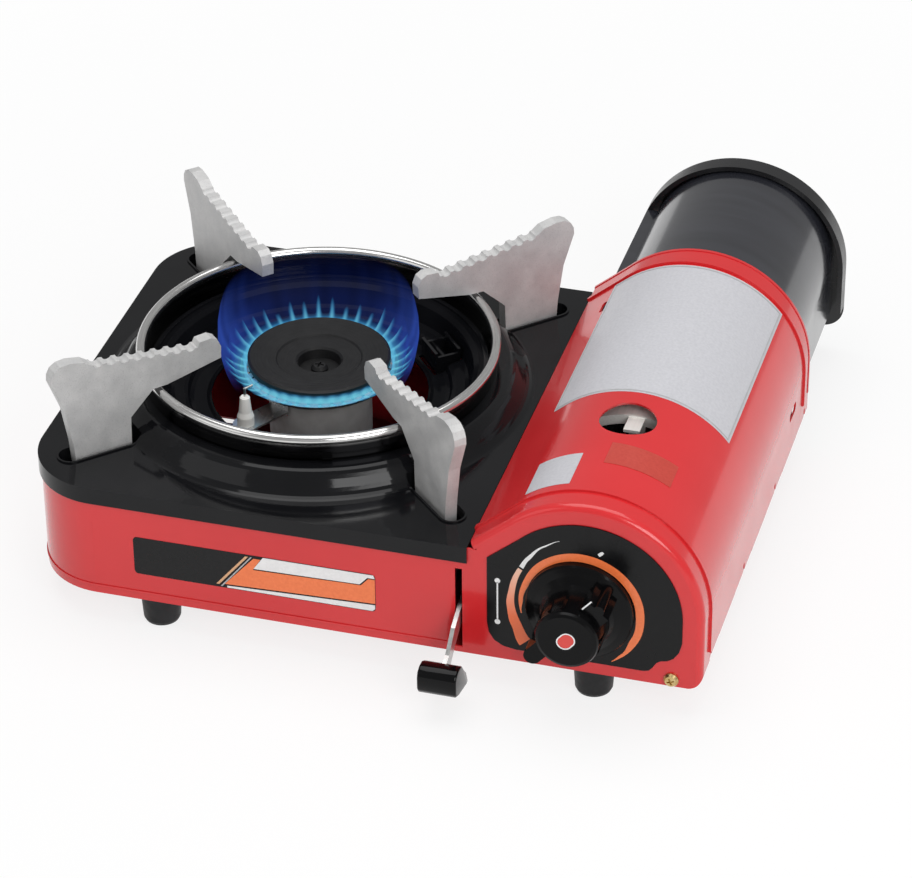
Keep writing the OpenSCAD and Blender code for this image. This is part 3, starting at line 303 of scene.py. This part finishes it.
def cast_support():
    """Sand-cast metal: grainy, blotched and pitted."""
    p = Paint("cast_support")
    blot = p.noise(120, 4, 0.6)
    base = p.mottled(blot, (0.50, 0.50, 0.50), (0.62, 0.615, 0.61))
    p.colour(p.specks(base, 1500, 0.08, 0.28, 0.45, (0.20, 0.195, 0.195)))
    p.rough(p.spread(blot, 0.46, 0.62))
    p.bump(p.noise(1300, 5, 0.72), 0.55, 0.00022)
    p.bump(p.noise(260, 3), 0.30, 0.00030)
    p.set(Metallic=0.35)
    return p.mat


def cap_iron():
    """Dark iron with turned rings."""
    p = Paint("cap_iron")
    turned = p.noise_over(p.ring_coord(1800, 3, 400), 2, 0.5)
    p.colour(p.mottled(p.noise(200, 4), (0.0048, 0.0048, 0.0052), (0.0095, 0.0095, 0.010)))
    p.rough(p.spread(turned, 0.40, 0.56))
    p.bump(turned, 0.18, 0.00006)
    p.bump(p.noise(1400, 4, 0.7), 0.30, 0.00012)
    p.set(Specular_IOR_Level=0.26)
    return p.mat


def sweep_print():
    """Orange print that fades to a pale tint toward the top, between two heights in metres."""
    p = Paint("print_sweep")
    fade = p.spread(p.split(p.coord)[2], 0, 1, 0.034, 0.066)
    p.colour(p.blend(fade, (0.84, 0.15, 0.038), (0.80, 0.66, 0.52)))
    p.rough(p.spread(p.noise(200, 3), 0.29, 0.40))
    p.bump(p.noise(1400, 2), 0.06, 0.00004)
    p.set(Coat_Weight=0.2, Coat_Roughness=0.2)
    return p.mat


def surface(name, tint, gloss, relief, **shader):
    """A material of three noises: for the colour between two, for the roughness between two, and for the
    relief with its strength and depth."""
    p = Paint(name)
    noise, low, high = tint
    p.colour(p.mottled(p.noise(*noise), low, high))
    noise, low, high = gloss
    p.rough(p.spread(p.noise(*noise), low, high))
    noise, strength, depth = relief
    p.bump(p.noise(*noise), strength, depth)
    p.set(**shader)
    return p.mat


def casting(name, low, high, metallic, rough_low, rough_high):
    return surface(name, ((160, 4), low, high), ((300, 3), rough_low, rough_high),
                   ((1500, 4, 0.7), 0.35, 0.00015), Metallic=metallic)


def plastic(name, low, high, rough_low, rough_high, grain=1600, strength=0.25, coat=0.0, specular=0.5):
    return surface(name, ((40, 3), low, high), ((120, 3), rough_low, rough_high),
                   ((grain, 3, 0.6), strength, 0.00008),
                   Coat_Weight=coat, Coat_Roughness=0.06, Specular_IOR_Level=specular)


def printed(name, low, high, rough, coat=0.2, specular=0.5):
    """Printed film: nearly flat colour with a faint grain."""
    return surface(name, ((900, 2), low, high), ((200, 3), rough - 0.05, rough + 0.06),
                   ((1400, 2), 0.06, 0.00004),
                   Coat_Weight=coat, Coat_Roughness=0.2, Specular_IOR_Level=specular)


RED = red_paint()
ENAMEL = black_enamel("black_enamel", 0.24)
PAN_ENAMEL = black_enamel("pan_enamel", 0.03)
# painted reflection: the cover's black is lifted a little and tinted blue, for the bluish-grey it reflects
SATIN_PAINTED_SHEEN = surface("black_satin_painted_sheen", (((20, 160, 20), 3), (0.015, 0.0158, 0.0205), (0.024, 0.025, 0.032)),
                ((70, 4), 0.13, 0.21), ((1100, 2), 0.16, 0.00010), Coat_Weight=0.45, Coat_Roughness=0.08)
RING = ring_steel()
SHEET = steel("bright_steel", (0.50, 0.50, 0.495), (0.66, 0.66, 0.65), 0.24, 0.38)
FLAME_RING = steel("burner_steel", (0.40, 0.385, 0.37), (0.62, 0.60, 0.57), 0.24, 0.40, (700, 700, 300))
# painted light: the carriage's plated steel is given a paler colour than it has, so that it looks lit deep
# inside the stove
ZINC_PLATE_PAINTED_LIGHT = steel("zinc_plate_painted_light", (0.78, 0.77, 0.73), (0.88, 0.87, 0.83), 0.34, 0.46, metallic=0.35)
GREY = casting("grey_casting", (0.50, 0.49, 0.48), (0.62, 0.61, 0.60), 0.35, 0.42, 0.56)
ZINC = casting("zinc_casting", (0.42, 0.42, 0.44), (0.54, 0.54, 0.56), 0.85, 0.36, 0.50)
CAP = cap_iron()
CAST = cast_support()
BRASS = surface("brass", ((500, 4), (0.52, 0.36, 0.13), (0.70, 0.54, 0.27)), ((700, 3), 0.24, 0.40),
                ((1800, 3), 0.15, 0.00006), Metallic=1.0)
BLACK = plastic("black_plastic", (0.0018, 0.0018, 0.0021), (0.0032, 0.0032, 0.0036), 0.12, 0.20,
                strength=0.12, specular=0.14)
GLOSS_BLACK = plastic("gloss_black", (0.0014, 0.0014, 0.0017), (0.0026, 0.0026, 0.003), 0.06, 0.12,
                      grain=1200, strength=0.05, specular=0.18)
CAP_BLACK = plastic("end_black", (0.008, 0.008, 0.009), (0.013, 0.013, 0.0145), 0.22, 0.34)
RED_SPOT = plastic("red_plastic", (0.62, 0.03, 0.02), (0.70, 0.05, 0.035), 0.22, 0.32, coat=0.4)
WHITE = plastic("white_plastic", (0.70, 0.70, 0.67), (0.80, 0.80, 0.77), 0.35, 0.5)
CERAMIC = plastic("ceramic", (0.78, 0.76, 0.72), (0.88, 0.87, 0.84), 0.16, 0.28,
                  grain=900, strength=0.08, coat=0.4)
SLEEVE = plastic("white_sleeve", (0.66, 0.66, 0.62), (0.78, 0.78, 0.74), 0.5, 0.65)
RUBBER = surface("foot_rubber", ((150, 4), (0.006, 0.006, 0.0066), (0.012, 0.012, 0.0135)),
                 ((400, 3), 0.42, 0.58), ((2200, 3, 0.6), 0.35, 0.00010), Specular_IOR_Level=0.3)
DIAL = printed("dial_black", (0.0028, 0.0028, 0.0032), (0.0046, 0.0046, 0.005), 0.22, 0.0, 0.22)
PAPER = printed("label_white", (0.50, 0.50, 0.53), (0.56, 0.56, 0.59), 0.42)
PAPER_GREY = printed("label_grey", (0.40, 0.40, 0.41), (0.45, 0.45, 0.46), 0.36)
INK = printed("label_ink", (0.0038, 0.0038, 0.0042), (0.006, 0.006, 0.0065), 0.28, 0.0, 0.26)
ORANGE = printed("print_orange", (0.80, 0.165, 0.042), (0.86, 0.195, 0.055), 0.34)
AMBER = printed("print_amber", (0.47, 0.036, 0.022), (0.52, 0.05, 0.032), 0.36)
PRINT_WHITE = printed("print_white", (0.74, 0.74, 0.74), (0.80, 0.80, 0.80), 0.34)
TAN = printed("print_tan", (0.62, 0.34, 0.17), (0.68, 0.38, 0.20), 0.34)
SWEEP = sweep_print()

NODE_MATERIALS = {
    "chassis": RED, "cartridge_lid": RED, "top_plate": ENAMEL, "drip_pan": PAN_ENAMEL, "heat_panel": ENAMEL,
    "windshield_ring": RING, "burner_body": GREY, "flame_ring": FLAME_RING, "burner_cap": CAP,
    "cap_screw": CAP, "mixing_tube": SHEET, "gas_nozzle": BRASS, "regulator_body": ZINC,
    "diaphragm_cover": SHEET, "regulator_bracket": SHEET, "regulator_screws": SHEET, "valve_shaft": BRASS,
    "control_knob": BLACK, "knob_marker": RED_SPOT, "dial_plate": DIAL, "panel_screw": BRASS,
    "piezo_igniter": WHITE, "igniter_lead": SLEEVE, "igniter_electrode": CERAMIC, "electrode_wire": SHEET,
    "electrode_bracket": SHEET, "partition": SHEET, "lock_lever": SHEET, "lever_handle": GLOSS_BLACK,
    "lever_pivot_pin": SHEET, "lever_spacer": SHEET, "cartridge_carriage": ZINC_PLATE_PAINTED_LIGHT,
    "cartridge_cradle": SHEET, "slide_rails": SHEET, "lid_hinge_rod": SHEET, "sliding_cover": SATIN_PAINTED_SHEEN,
    "cover_end_cap": CAP_BLACK, "tray_screws": SHEET}
for side in ("front_left", "front_right", "back_left", "back_right"):
    NODE_MATERIALS["pan_support_" + side] = CAST
    NODE_MATERIALS["foot_" + side] = RUBBER

for node_name, material in NODE_MATERIALS.items():
    node_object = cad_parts[node_name]
    node_object.data.materials.clear()
    node_object.data.materials.append(material)

# ---------------------------------------------------------------- films on the lid and the panel

# thickness of a label's film and of a print on the dial, in millimetres
FILM, PRINT = 0.12, 0.10

# the lid's arch: its axis, radius, and the angle past which its left side runs down straight
BARREL_X, BARREL_Z, BARREL_R, SHOULDER = 133.3, 42.6, 45.0, 130.0
# how high a label lies over the lid, and the thin frame over its label
LABEL_LIFT = 0.03
FRAME_LIFT = LABEL_LIFT + 0.16

# the front panel's face, and the face of the label on it
FACE = -94.9
STICKER_Y = FACE - FILM

CORNER_STEPS = 6


def finish_mesh(name, bm, material, body, smooth=False):
    """Makes a piece from a bmesh, with its material, body and finish."""
    mesh = bpy.data.meshes.new(name)
    bmesh.ops.recalc_face_normals(bm, faces=bm.faces)
    bm.to_mesh(mesh)
    bm.free()
    for f in mesh.polygons:
        f.use_smooth = smooth
    obj = bpy.data.objects.new(name, mesh)
    bpy.context.scene.collection.objects.link(obj)
    mesh.materials.append(material)
    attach(obj, body)
    return obj


def barrel_point(deg, y, lift):
    """Point and normal on the lid's outside; past the shoulder the surface runs on straight."""
    a = math.radians(min(deg, SHOULDER))
    nx, nz = math.cos(a), math.sin(a)
    r = BARREL_R + lift
    x, z = BARREL_X + r * nx, BARREL_Z + r * nz
    if deg > SHOULDER:
        run = math.radians(deg - SHOULDER) * BARREL_R
        x, z = x - run * math.sin(a), z + run * math.cos(a)
    return at(x, y, z), Vector((nx, 0, nz))


def lid_film(name, y0, y1, d0, d1, material, lift=LABEL_LIFT, nd=40, ny=6):
    """A film on the lid between two places along it and two angles round it, in nd by ny steps."""
    grid = [[barrel_point(d0 + (d1 - d0) * k / nd, y0 + (y1 - y0) * i / ny, lift) for k in range(nd + 1)]
            for i in range(ny + 1)]
    bm = bmesh.new()
    top = [[bm.verts.new(p + n * (FILM * MM)) for p, n in row] for row in grid]
    base = [[bm.verts.new(p) for p, n in row] for row in grid]
    for a, b in zip(top, top[1:]):
        for i in range(nd):
            bm.faces.new((a[i], a[i + 1], b[i + 1], b[i]))
    for a, b in zip(base, base[1:]):
        for i in range(nd):
            bm.faces.new((a[i], b[i], b[i + 1], a[i + 1]))
    edge = [(0, i) for i in range(nd + 1)] + [(j, nd) for j in range(1, ny + 1)]
    edge += [(ny, i) for i in range(nd - 1, -1, -1)] + [(j, 0) for j in range(ny - 1, 0, -1)]
    for (j, i), (k, m) in zip(edge, edge[1:] + edge[:1]):
        bm.faces.new((top[j][i], base[j][i], base[k][m], top[k][m]))
    finish_mesh(name, bm, material, "lid")


def flat_film(name, outline, y, material, body="root"):
    """A flat film from an outline in X and Z, with its back at y and facing the front."""
    bm = bmesh.new()
    front = [bm.verts.new(at(x, y - FILM, z)) for x, z in outline]
    back = [bm.verts.new(at(x, y, z)) for x, z in outline]
    bm.faces.new(front)
    bm.faces.new(back[::-1])
    n = len(outline)
    for i in range(n):
        bm.faces.new((front[i], back[i], back[(i + 1) % n], front[(i + 1) % n]))
    finish_mesh(name, bm, material, body)


def rounded(x0, z0, x1, z1, r):
    """A rectangle with rounded corners."""
    pts = []
    for cx, cz, a0 in ((x1 - r, z1 - r, 0), (x0 + r, z1 - r, 90),
                       (x0 + r, z0 + r, 180), (x1 - r, z0 + r, 270)):
        for k in range(CORNER_STEPS + 1):
            a = math.radians(a0 + 90 * k / CORNER_STEPS)
            pts.append((cx + r * math.cos(a), cz + r * math.sin(a)))
    return pts


lid_film("lid_label", -13.9, 83.4, 38.3, 138, PAPER)
for side, y0, y1, d0, d1, nd, ny in (("front", -13.0, -12.4, 39.8, 136.5, 40, 1),
                                     ("back", 81.8, 82.4, 39.8, 136.5, 40, 1),
                                     ("right", -13.0, 82.4, 39.4, 40.1, 1, 2),
                                     ("left", -13.0, 82.4, 136.2, 136.9, 1, 2)):
    lid_film("lid_label_frame_" + side, y0, y1, d0, d1, PAPER_GREY, FRAME_LIFT, nd, ny)
lid_film("lid_small_label", -79, -58, 104, 128, PAPER, nd=12)
lid_film("lid_amber_label", -64, -50, 58, 92, AMBER, nd=24)

flat_film("front_sticker", rounded(-45.6, 25.2, 51.3, 42.2, 1.6), FACE, INK)
for part, outline, material in (
        ("line", [(-12.4, 26.6), (-11.2, 26.6), (0.9, 41.4), (-0.3, 41.4)], TAN),
        ("line_grey", [(-10.6, 25.8), (-10.0, 25.8), (2.4, 41.4), (1.8, 41.4)], PAPER_GREY),
        ("band", [(-9.0, 27.0), (51.2, 29.0), (51.2, 40.0), (48.6, 40.0), (45.6, 36.6), (2.6, 35.6),
                  (5.8, 40.9), (3.0, 40.9)], ORANGE),
        ("stripe", [(2.9, 36.2), (45.2, 37.0), (48.2, 40.5), (51.2, 40.5), (50.6, 42.0), (6.8, 42.0)],
         PRINT_WHITE),
        ("foot", [(-8.0, 25.5), (50.0, 25.5), (51.1, 26.5), (51.1, 28.3), (-8.0, 26.3)], PRINT_WHITE)):
    flat_film("front_sticker_" + part, outline, STICKER_Y, material)

# ---------------------------------------------------------------- prints on the dial and the knob

# the knob's axis, and the face of the dial's plate
KNOB_X, KNOB_Z = 131.3, 42.6
DIAL_Y = FACE - 0.5
ARC_STEPS = 120

# the dots at the ends of the line beside the dial
DOT_X, DOT_R, DOT_STEPS = 99.3, 1.1, 24

# the knob's face, the angle of its grip bar, and the marker's half length, end radius and outline
MARK_Y = (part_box("control_knob")[0][1] - BY) / MM
GRIP_ANGLE = 49
MARK_HALF, MARK_R, MARK_LINE = 0.8, 2.6, 0.5
MARK_STEPS = 48
# how far behind the knob's face its white line lies: a painted highlight along the grip bar's edge
HIGHLIGHT_BACK = 4.0


def ease(t):
    """Eases a share between 0 and 1 at both ends."""
    return t * t * (3 - 2 * t)


def radii_at(table, deg):
    """Inner and outer radius at an angle, between the rows of (angle, inner, outer)."""
    for (a, i0, o0), (b, i1, o1) in zip(table, table[1:]):
        if a >= deg >= b:
            t = ease((a - deg) / (a - b))
            return i0 + (i1 - i0) * t, o0 + (o1 - o0) * t
    return table[-1][1:]


def section(inner, outer):
    """Corners of a printed line's section: radius, and height over what it is printed on."""
    return (inner, PRINT), (outer, PRINT), (outer, 0.0), (inner, 0.0)


def join_sections(bm, loops):
    """Faces from each section's corners to the next one's."""
    for a, b in zip(loops, loops[1:]):
        for i in range(4):
            j = (i + 1) % 4
            bm.faces.new((a[i], a[j], b[j], b[i]))


def arc_band(name, table, material):
    """A ring segment of changing width on the dial, from rows of (angle, inner, outer radius)."""
    bm = bmesh.new()
    loops = []
    for k in range(ARC_STEPS + 1):
        deg = table[0][0] + (table[-1][0] - table[0][0]) * k / ARC_STEPS
        a = math.radians(deg)
        loops.append([bm.verts.new(at(KNOB_X + r * math.cos(a), DIAL_Y - d, KNOB_Z + r * math.sin(a)))
                      for r, d in section(*radii_at(table, deg))])
    join_sections(bm, loops)
    bm.faces.new(loops[0])
    bm.faces.new(loops[-1][::-1])
    finish_mesh(name, bm, material, "root")


def knob_ring():
    """An outline round the marker on the knob's face."""
    bm = bmesh.new()
    loops = []
    tilt = math.radians(GRIP_ANGLE + 180)
    ux, uz = math.cos(tilt), math.sin(tilt)
    for k in range(MARK_STEPS):
        a = 2 * math.pi * k / MARK_STEPS
        cx = MARK_HALF if math.cos(a) > 0 else -MARK_HALF
        loop = []
        for r, d in section(MARK_R, MARK_R + MARK_LINE):
            u, v = cx + r * math.cos(a), r * math.sin(a)
            loop.append(bm.verts.new(at(KNOB_X + u * ux - v * uz, MARK_Y - d, KNOB_Z + u * uz + v * ux)))
        loops.append(loop)
    join_sections(bm, loops + loops[:1])
    finish_mesh("knob_mark_outline", bm, PRINT_WHITE, "knob")


def knob_highlight_line():
    """A thin white line along the left edge of the knob's grip bar: a painted highlight for the light along
    that edge.
    """
    tilt = math.radians(GRIP_ANGLE)
    u, v = (math.cos(tilt), math.sin(tilt)), (-math.sin(tilt), math.cos(tilt))
    corners = [(KNOB_X + a * u[0] + b * v[0], KNOB_Z + a * u[1] + b * v[1])
               for a, b in ((13.0, 4.3), (18.4, 4.3), (18.4, 4.85), (13.0, 4.85))]
    # painted highlight: a white film where the grip bar's edge catches the light
    flat_film("knob_painted_highlight", corners, MARK_Y + HIGHLIGHT_BACK, PRINT_WHITE, "knob")


arc_band("dial_ring", [(196, 23.4, 23.8), (180, 22.1, 23.8), (160, 21.0, 23.5), (130, 20.8, 24.0),
                       (90, 20.9, 24.4), (40, 21.0, 24.4), (4, 21.2, 24.5), (-29, 22.2, 25.1),
                       (-50, 24.2, 25.4), (-61, 25.2, 25.5)], ORANGE)
arc_band("dial_sweep_low", [(223, 26.4, 31.8), (206, 25.5, 29.6), (188, 25.6, 28.7), (171, 25.4, 27.8),
                            (150, 25.8, 27.7)], SWEEP)
arc_band("dial_sweep_high", [(148, 26.0, 27.8), (138, 26.8, 28.3), (120, 28.6, 29.2), (106, 29.8, 29.95)],
         PRINT_WHITE)
flat_film("lever_mark_line", rounded(99.0, 31.5, 99.6, 48.5, 0.25), DIAL_Y, PRINT_WHITE)
for name, z in (("lever_mark_low", 30.3), ("lever_mark_high", 49.2)):
    angles = [2 * math.pi * k / DOT_STEPS for k in range(DOT_STEPS)]
    dot = [(DOT_X + DOT_R * math.cos(a), z + DOT_R * math.sin(a)) for a in angles]
    flat_film(name, dot, DIAL_Y, PRINT_WHITE)
flat_film("dial_pill", [(137.6, 68.2), (138.4, 67.2), (139.6, 68.2), (140.1, 69.0), (139.3, 69.6),
                        (138.6, 69.2)], DIAL_Y, PRINT_WHITE)
knob_ring()
knob_highlight_line()

# ---------------------------------------------------------------- the lever's handle

# width of the rounding along its two ends, in millimetres, and the steps in it
HANDLE_EDGE, HANDLE_STEPS = 0.8, 3


def make_handle():
    """A glossy block with soft edges, from its outline in Y and Z."""
    lo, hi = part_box("lever_handle")
    x0, x1 = (lo[0] - BX) / MM, (hi[0] - BX) / MM
    front = (lo[1] - BY) / MM
    profile = [(-113.8, 20.9), (-109.2, 14.6), (-106.4, 9.4), (-106.9, 8.5), (-108.6, 8.4), (-118.6, 10.6),
               (front + 1.2, 12.2), (front + 0.1, 14.2), (front + 0.1, 19.2), (front + 1.0, 21.4),
               (-119.6, 22.6), (-116.4, 22.4)]
    bm = bmesh.new()
    left = [bm.verts.new(at(x0, y, z)) for y, z in profile]
    right = [bm.verts.new(at(x1, y, z)) for y, z in profile]
    ends = [bm.faces.new(left), bm.faces.new(right[::-1])]
    for i in range(len(profile)):
        j = (i + 1) % len(profile)
        bm.faces.new((left[i], right[i], right[j], left[j]))
    rim = [e for f in ends for e in f.edges]
    bmesh.ops.bevel(bm, geom=rim, offset=HANDLE_EDGE * MM, segments=HANDLE_STEPS, affect="EDGES", profile=0.6)
    handle = finish_mesh("handle_block", bm, GLOSS_BLACK, "lever", smooth=True)
    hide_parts("lever_handle")


make_handle()

# ---------------------------------------------------------------- flame (light, with no solid of its own)

# heading from the burner toward the camera, where the halo is lowest
NEAR = math.radians(AZIMUTH - 90)
NEEDLES = 40
# how far the longest needle reaches outward and upward, in millimetres
REACH_OUT, REACH_UP = 1.2, 7.0
# heights at which the halo and the skirt begin
HALO_FOOT = 69.6
SKIRT_LOW = cap_lo[2] / MM + 3.4


def flame_material(name, low, high, strength, solid):
    """Light that goes from one colour, partly solid, to another, clear, as the mesh's fade goes to 1."""
    mat = bpy.data.materials.new(name)
    nodes = Nodes(mat)
    fade = nodes.add("ShaderNodeAttribute", attribute_name="fade").outputs["Fac"]
    clear = nodes.add("ShaderNodeBsdfTransparent")
    glow = nodes.add("ShaderNodeEmission")
    nodes.link(nodes.blend(fade, low, high), glow.inputs["Color"])
    socket(glow, "Strength", strength)
    nodes.end_with("ShaderNodeOutputMaterial", nodes.spread(fade, solid, 0.0, 0.0, 1.0), clear, glow)
    return mat


def flame_shell(name, rows, n, material, shape):
    """A surface round the burner from (radius, height, fade) rows; shape(angle, share, row) bends a point."""
    mesh = bpy.data.meshes.new(name)
    verts, faces, fade = [], [], []
    for k in range(n):
        a = 2 * math.pi * k / n
        for i, row in enumerate(rows):
            radius, height, f = shape(a, i / (len(rows) - 1), row)
            verts.append(at(radius * math.cos(a), radius * math.sin(a), height))
            fade.append(min(max(f, 0.0), 1.0))
    m = len(rows)
    for k in range(n):
        j = (k + 1) % n
        for i in range(m - 1):
            faces.append((k * m + i, j * m + i, j * m + i + 1, k * m + i + 1))
    mesh.from_pydata(verts, [], faces)
    attr = mesh.attributes.new("fade", "FLOAT", "POINT")
    for i, f in enumerate(fade):
        attr.data[i].value = f
    for f in mesh.polygons:
        f.use_smooth = True
    obj = bpy.data.objects.new(name, mesh)
    bpy.context.scene.collection.objects.link(obj)
    mesh.materials.append(material)
    obj.visible_shadow = False
    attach(obj, "root")


def needle(a, power):
    """One at the middle of each of the needles round the burner, zero between them."""
    return (0.5 + 0.5 * math.cos(NEEDLES * a)) ** power


def own_length(a):
    """A share that makes some needles longer than others."""
    return 0.5 + 0.25 * math.sin(7 * a + 0.9) + 0.25 * math.sin(17 * a + 2.3)


def behind(a):
    """Zero toward the camera, one on the far side."""
    return 0.5 - 0.5 * math.cos(a - NEAR)


def tongue_shape(a, share, row):
    """Needles, each with its own length, over a faint foot."""
    radius, height, f = row
    sharp = needle(a, 3)
    reach = share * share * sharp * own_length(a)
    fade = f + (0.30 + 0.45 * share) * (1 - sharp)
    return radius + REACH_OUT * reach, height + REACH_UP * reach * (0.4 + 0.6 * behind(a)), fade


def skirt_shape(a, share, row):
    """Short flames that stand close before the slots, with a zigzag in their light."""
    radius, height, f = row
    return radius, height, f + 0.30 * (1 - needle(a, 1)) * share + 0.45 * behind(a)


def halo_shape(a, share, row):
    """Low toward the camera and high behind, brightest at the two sides, with faint streaks."""
    radius, height, f = row
    # one within about 53 degrees of the camera's heading, zero on the far half
    low = ease(min(max((math.cos(a - NEAR) + 0.05) / 0.65, 0.0), 1.0))
    side = abs(math.sin(a - NEAR)) ** 5
    rise = (height - HALO_FOOT) * (1 - 0.93 * low)
    streak = 0.86 + 0.10 * math.sin(23 * a + 1.0) + 0.06 * math.sin(37 * a)
    light = (1 - f) * (0.15 + 0.80 * side) * (1 - low) * streak
    return radius - 3.0 * low * share, HALO_FOOT + rise, 1 - light


TONGUE = flame_material("flame_cyan", (0.15, 0.54, 0.68), (0.03, 0.27, 0.66), 1.12, 0.92)
HAZE = flame_material("flame_blue", (0.045, 0.11, 0.56), (0.02, 0.05, 0.36), 0.80, 0.80)
flame_shell("flame_tongues", [(28.9, 69.4, 0.10), (31.0, 69.9, 0.05), (33.2, 70.8, 0.20), (35.0, 72.0, 0.50),
                              (36.8, 73.6, 1.0)], 960, TONGUE, tongue_shape)
flame_shell("flame_skirt", [(28.6, SKIRT_LOW, 0.9), (28.9, SKIRT_LOW + 0.8, 0.15),
                            (29.4, SKIRT_LOW + 2.0, 0.0), (29.9, SKIRT_LOW + 3.6, 0.10),
                            (30.3, SKIRT_LOW + 5.0, 0.6), (30.5, SKIRT_LOW + 5.8, 1.0)],
            480, TONGUE, skirt_shape)
flame_shell("flame_halo", [(32.5, HALO_FOOT, 0.6), (36.0, 72.5, 0.1), (38.6, 78.0, 0.0), (39.6, 84.0, 0.15),
                           (39.4, 90.0, 0.35), (38.4, 96.0, 0.65), (36.8, 101.5, 1.0)], 240, HAZE, halo_shape)
flame_shell("flame_halo_inner", [(31.0, HALO_FOOT, 0.7), (34.0, 74.0, 0.35), (35.4, 80.0, 0.55),
                                 (35.0, 87.0, 1.0)], 240, HAZE, halo_shape)

# ---------------------------------------------------------------- floor, lamps, surroundings

# half the floor's width, and where it begins to turn white and is plain white, in metres
FLOOR_HALF = 3.0
WHITE_FROM, WHITE_TO = 0.22, 0.62
# how much of its own white the camera sees close to the stove
WHITE_NEAR = 0.80
# what the lamps point at
LAMP_AIM = (43, 20, 45)


def make_floor():
    """A floor that takes the stove's shadow and turns to plain white away from it."""
    s = FLOOR_HALF
    mesh = bpy.data.meshes.new("floor")
    mesh.from_pydata([(-s, -s, 0), (s, -s, 0), (s, s, 0), (-s, s, 0)], [], [(0, 1, 2, 3)])
    floor = bpy.data.objects.new("floor", mesh)
    bpy.context.scene.collection.objects.link(floor)
    mat = bpy.data.materials.new("floor")
    nodes = Nodes(mat)
    matt = nodes.add("ShaderNodeBsdfDiffuse")
    socket(matt, "Color", (0.86, 0.86, 0.86, 1))
    glow = nodes.add("ShaderNodeEmission")
    socket(glow, "Strength", 1.0)
    path = nodes.add("ShaderNodeLightPath")
    either = nodes.add("ShaderNodeMath", operation="MAXIMUM")
    nodes.link(path.outputs["Is Camera Ray"], either.inputs[0])
    nodes.link(path.outputs["Is Glossy Ray"], either.inputs[1])
    away = nodes.length(nodes.add("ShaderNodeTexCoord").outputs["Object"])
    white = nodes.spread(away, WHITE_NEAR, 1.0, WHITE_FROM, WHITE_TO)
    share = nodes.add("ShaderNodeMath", operation="MULTIPLY")
    nodes.link(either.outputs[0], share.inputs[0])
    nodes.link(white, share.inputs[1])
    nodes.end_with("ShaderNodeOutputMaterial", share.outputs[0], matt, glow)
    mesh.materials.append(mat)


def area(name, x, y, z, w, h, power):
    """A lamp of w by h metres."""
    data = bpy.data.lights.new(name, "AREA")
    data.shape = "RECTANGLE"
    data.size, data.size_y = w, h
    data.energy = power
    lamp = bpy.data.objects.new(name, data)
    bpy.context.scene.collection.objects.link(lamp)
    lamp.location = at(x, y, z)
    lamp.rotation_mode = "QUATERNION"
    lamp.rotation_quaternion = (at(*LAMP_AIM) - lamp.location).to_track_quat("-Z", "Y")


def make_world():
    """White to the camera, and a softer white as light on the stove."""
    world = bpy.data.worlds.new("world")
    bpy.context.scene.world = world
    nodes = Nodes(world)
    soft = nodes.add("ShaderNodeBackground")
    seen = nodes.add("ShaderNodeBackground")
    for background, strength in ((soft, 0.42), (seen, 1.0)):
        socket(background, "Color", (1, 1, 1, 1))
        socket(background, "Strength", strength)
    path = nodes.add("ShaderNodeLightPath")
    nodes.end_with("ShaderNodeOutputWorld", path.outputs["Is Camera Ray"], soft, seen)


make_floor()
area("overhead", 0, 150, 1250, 1.2, 1.0, 9.5)
area("front_left", -900, -900, 700, 0.8, 0.8, 1.5)
area("front_right", 820, -920, 780, 0.7, 0.7, 8.2)
make_world()

bpy.context.scene.view_settings.view_transform = "Standard"
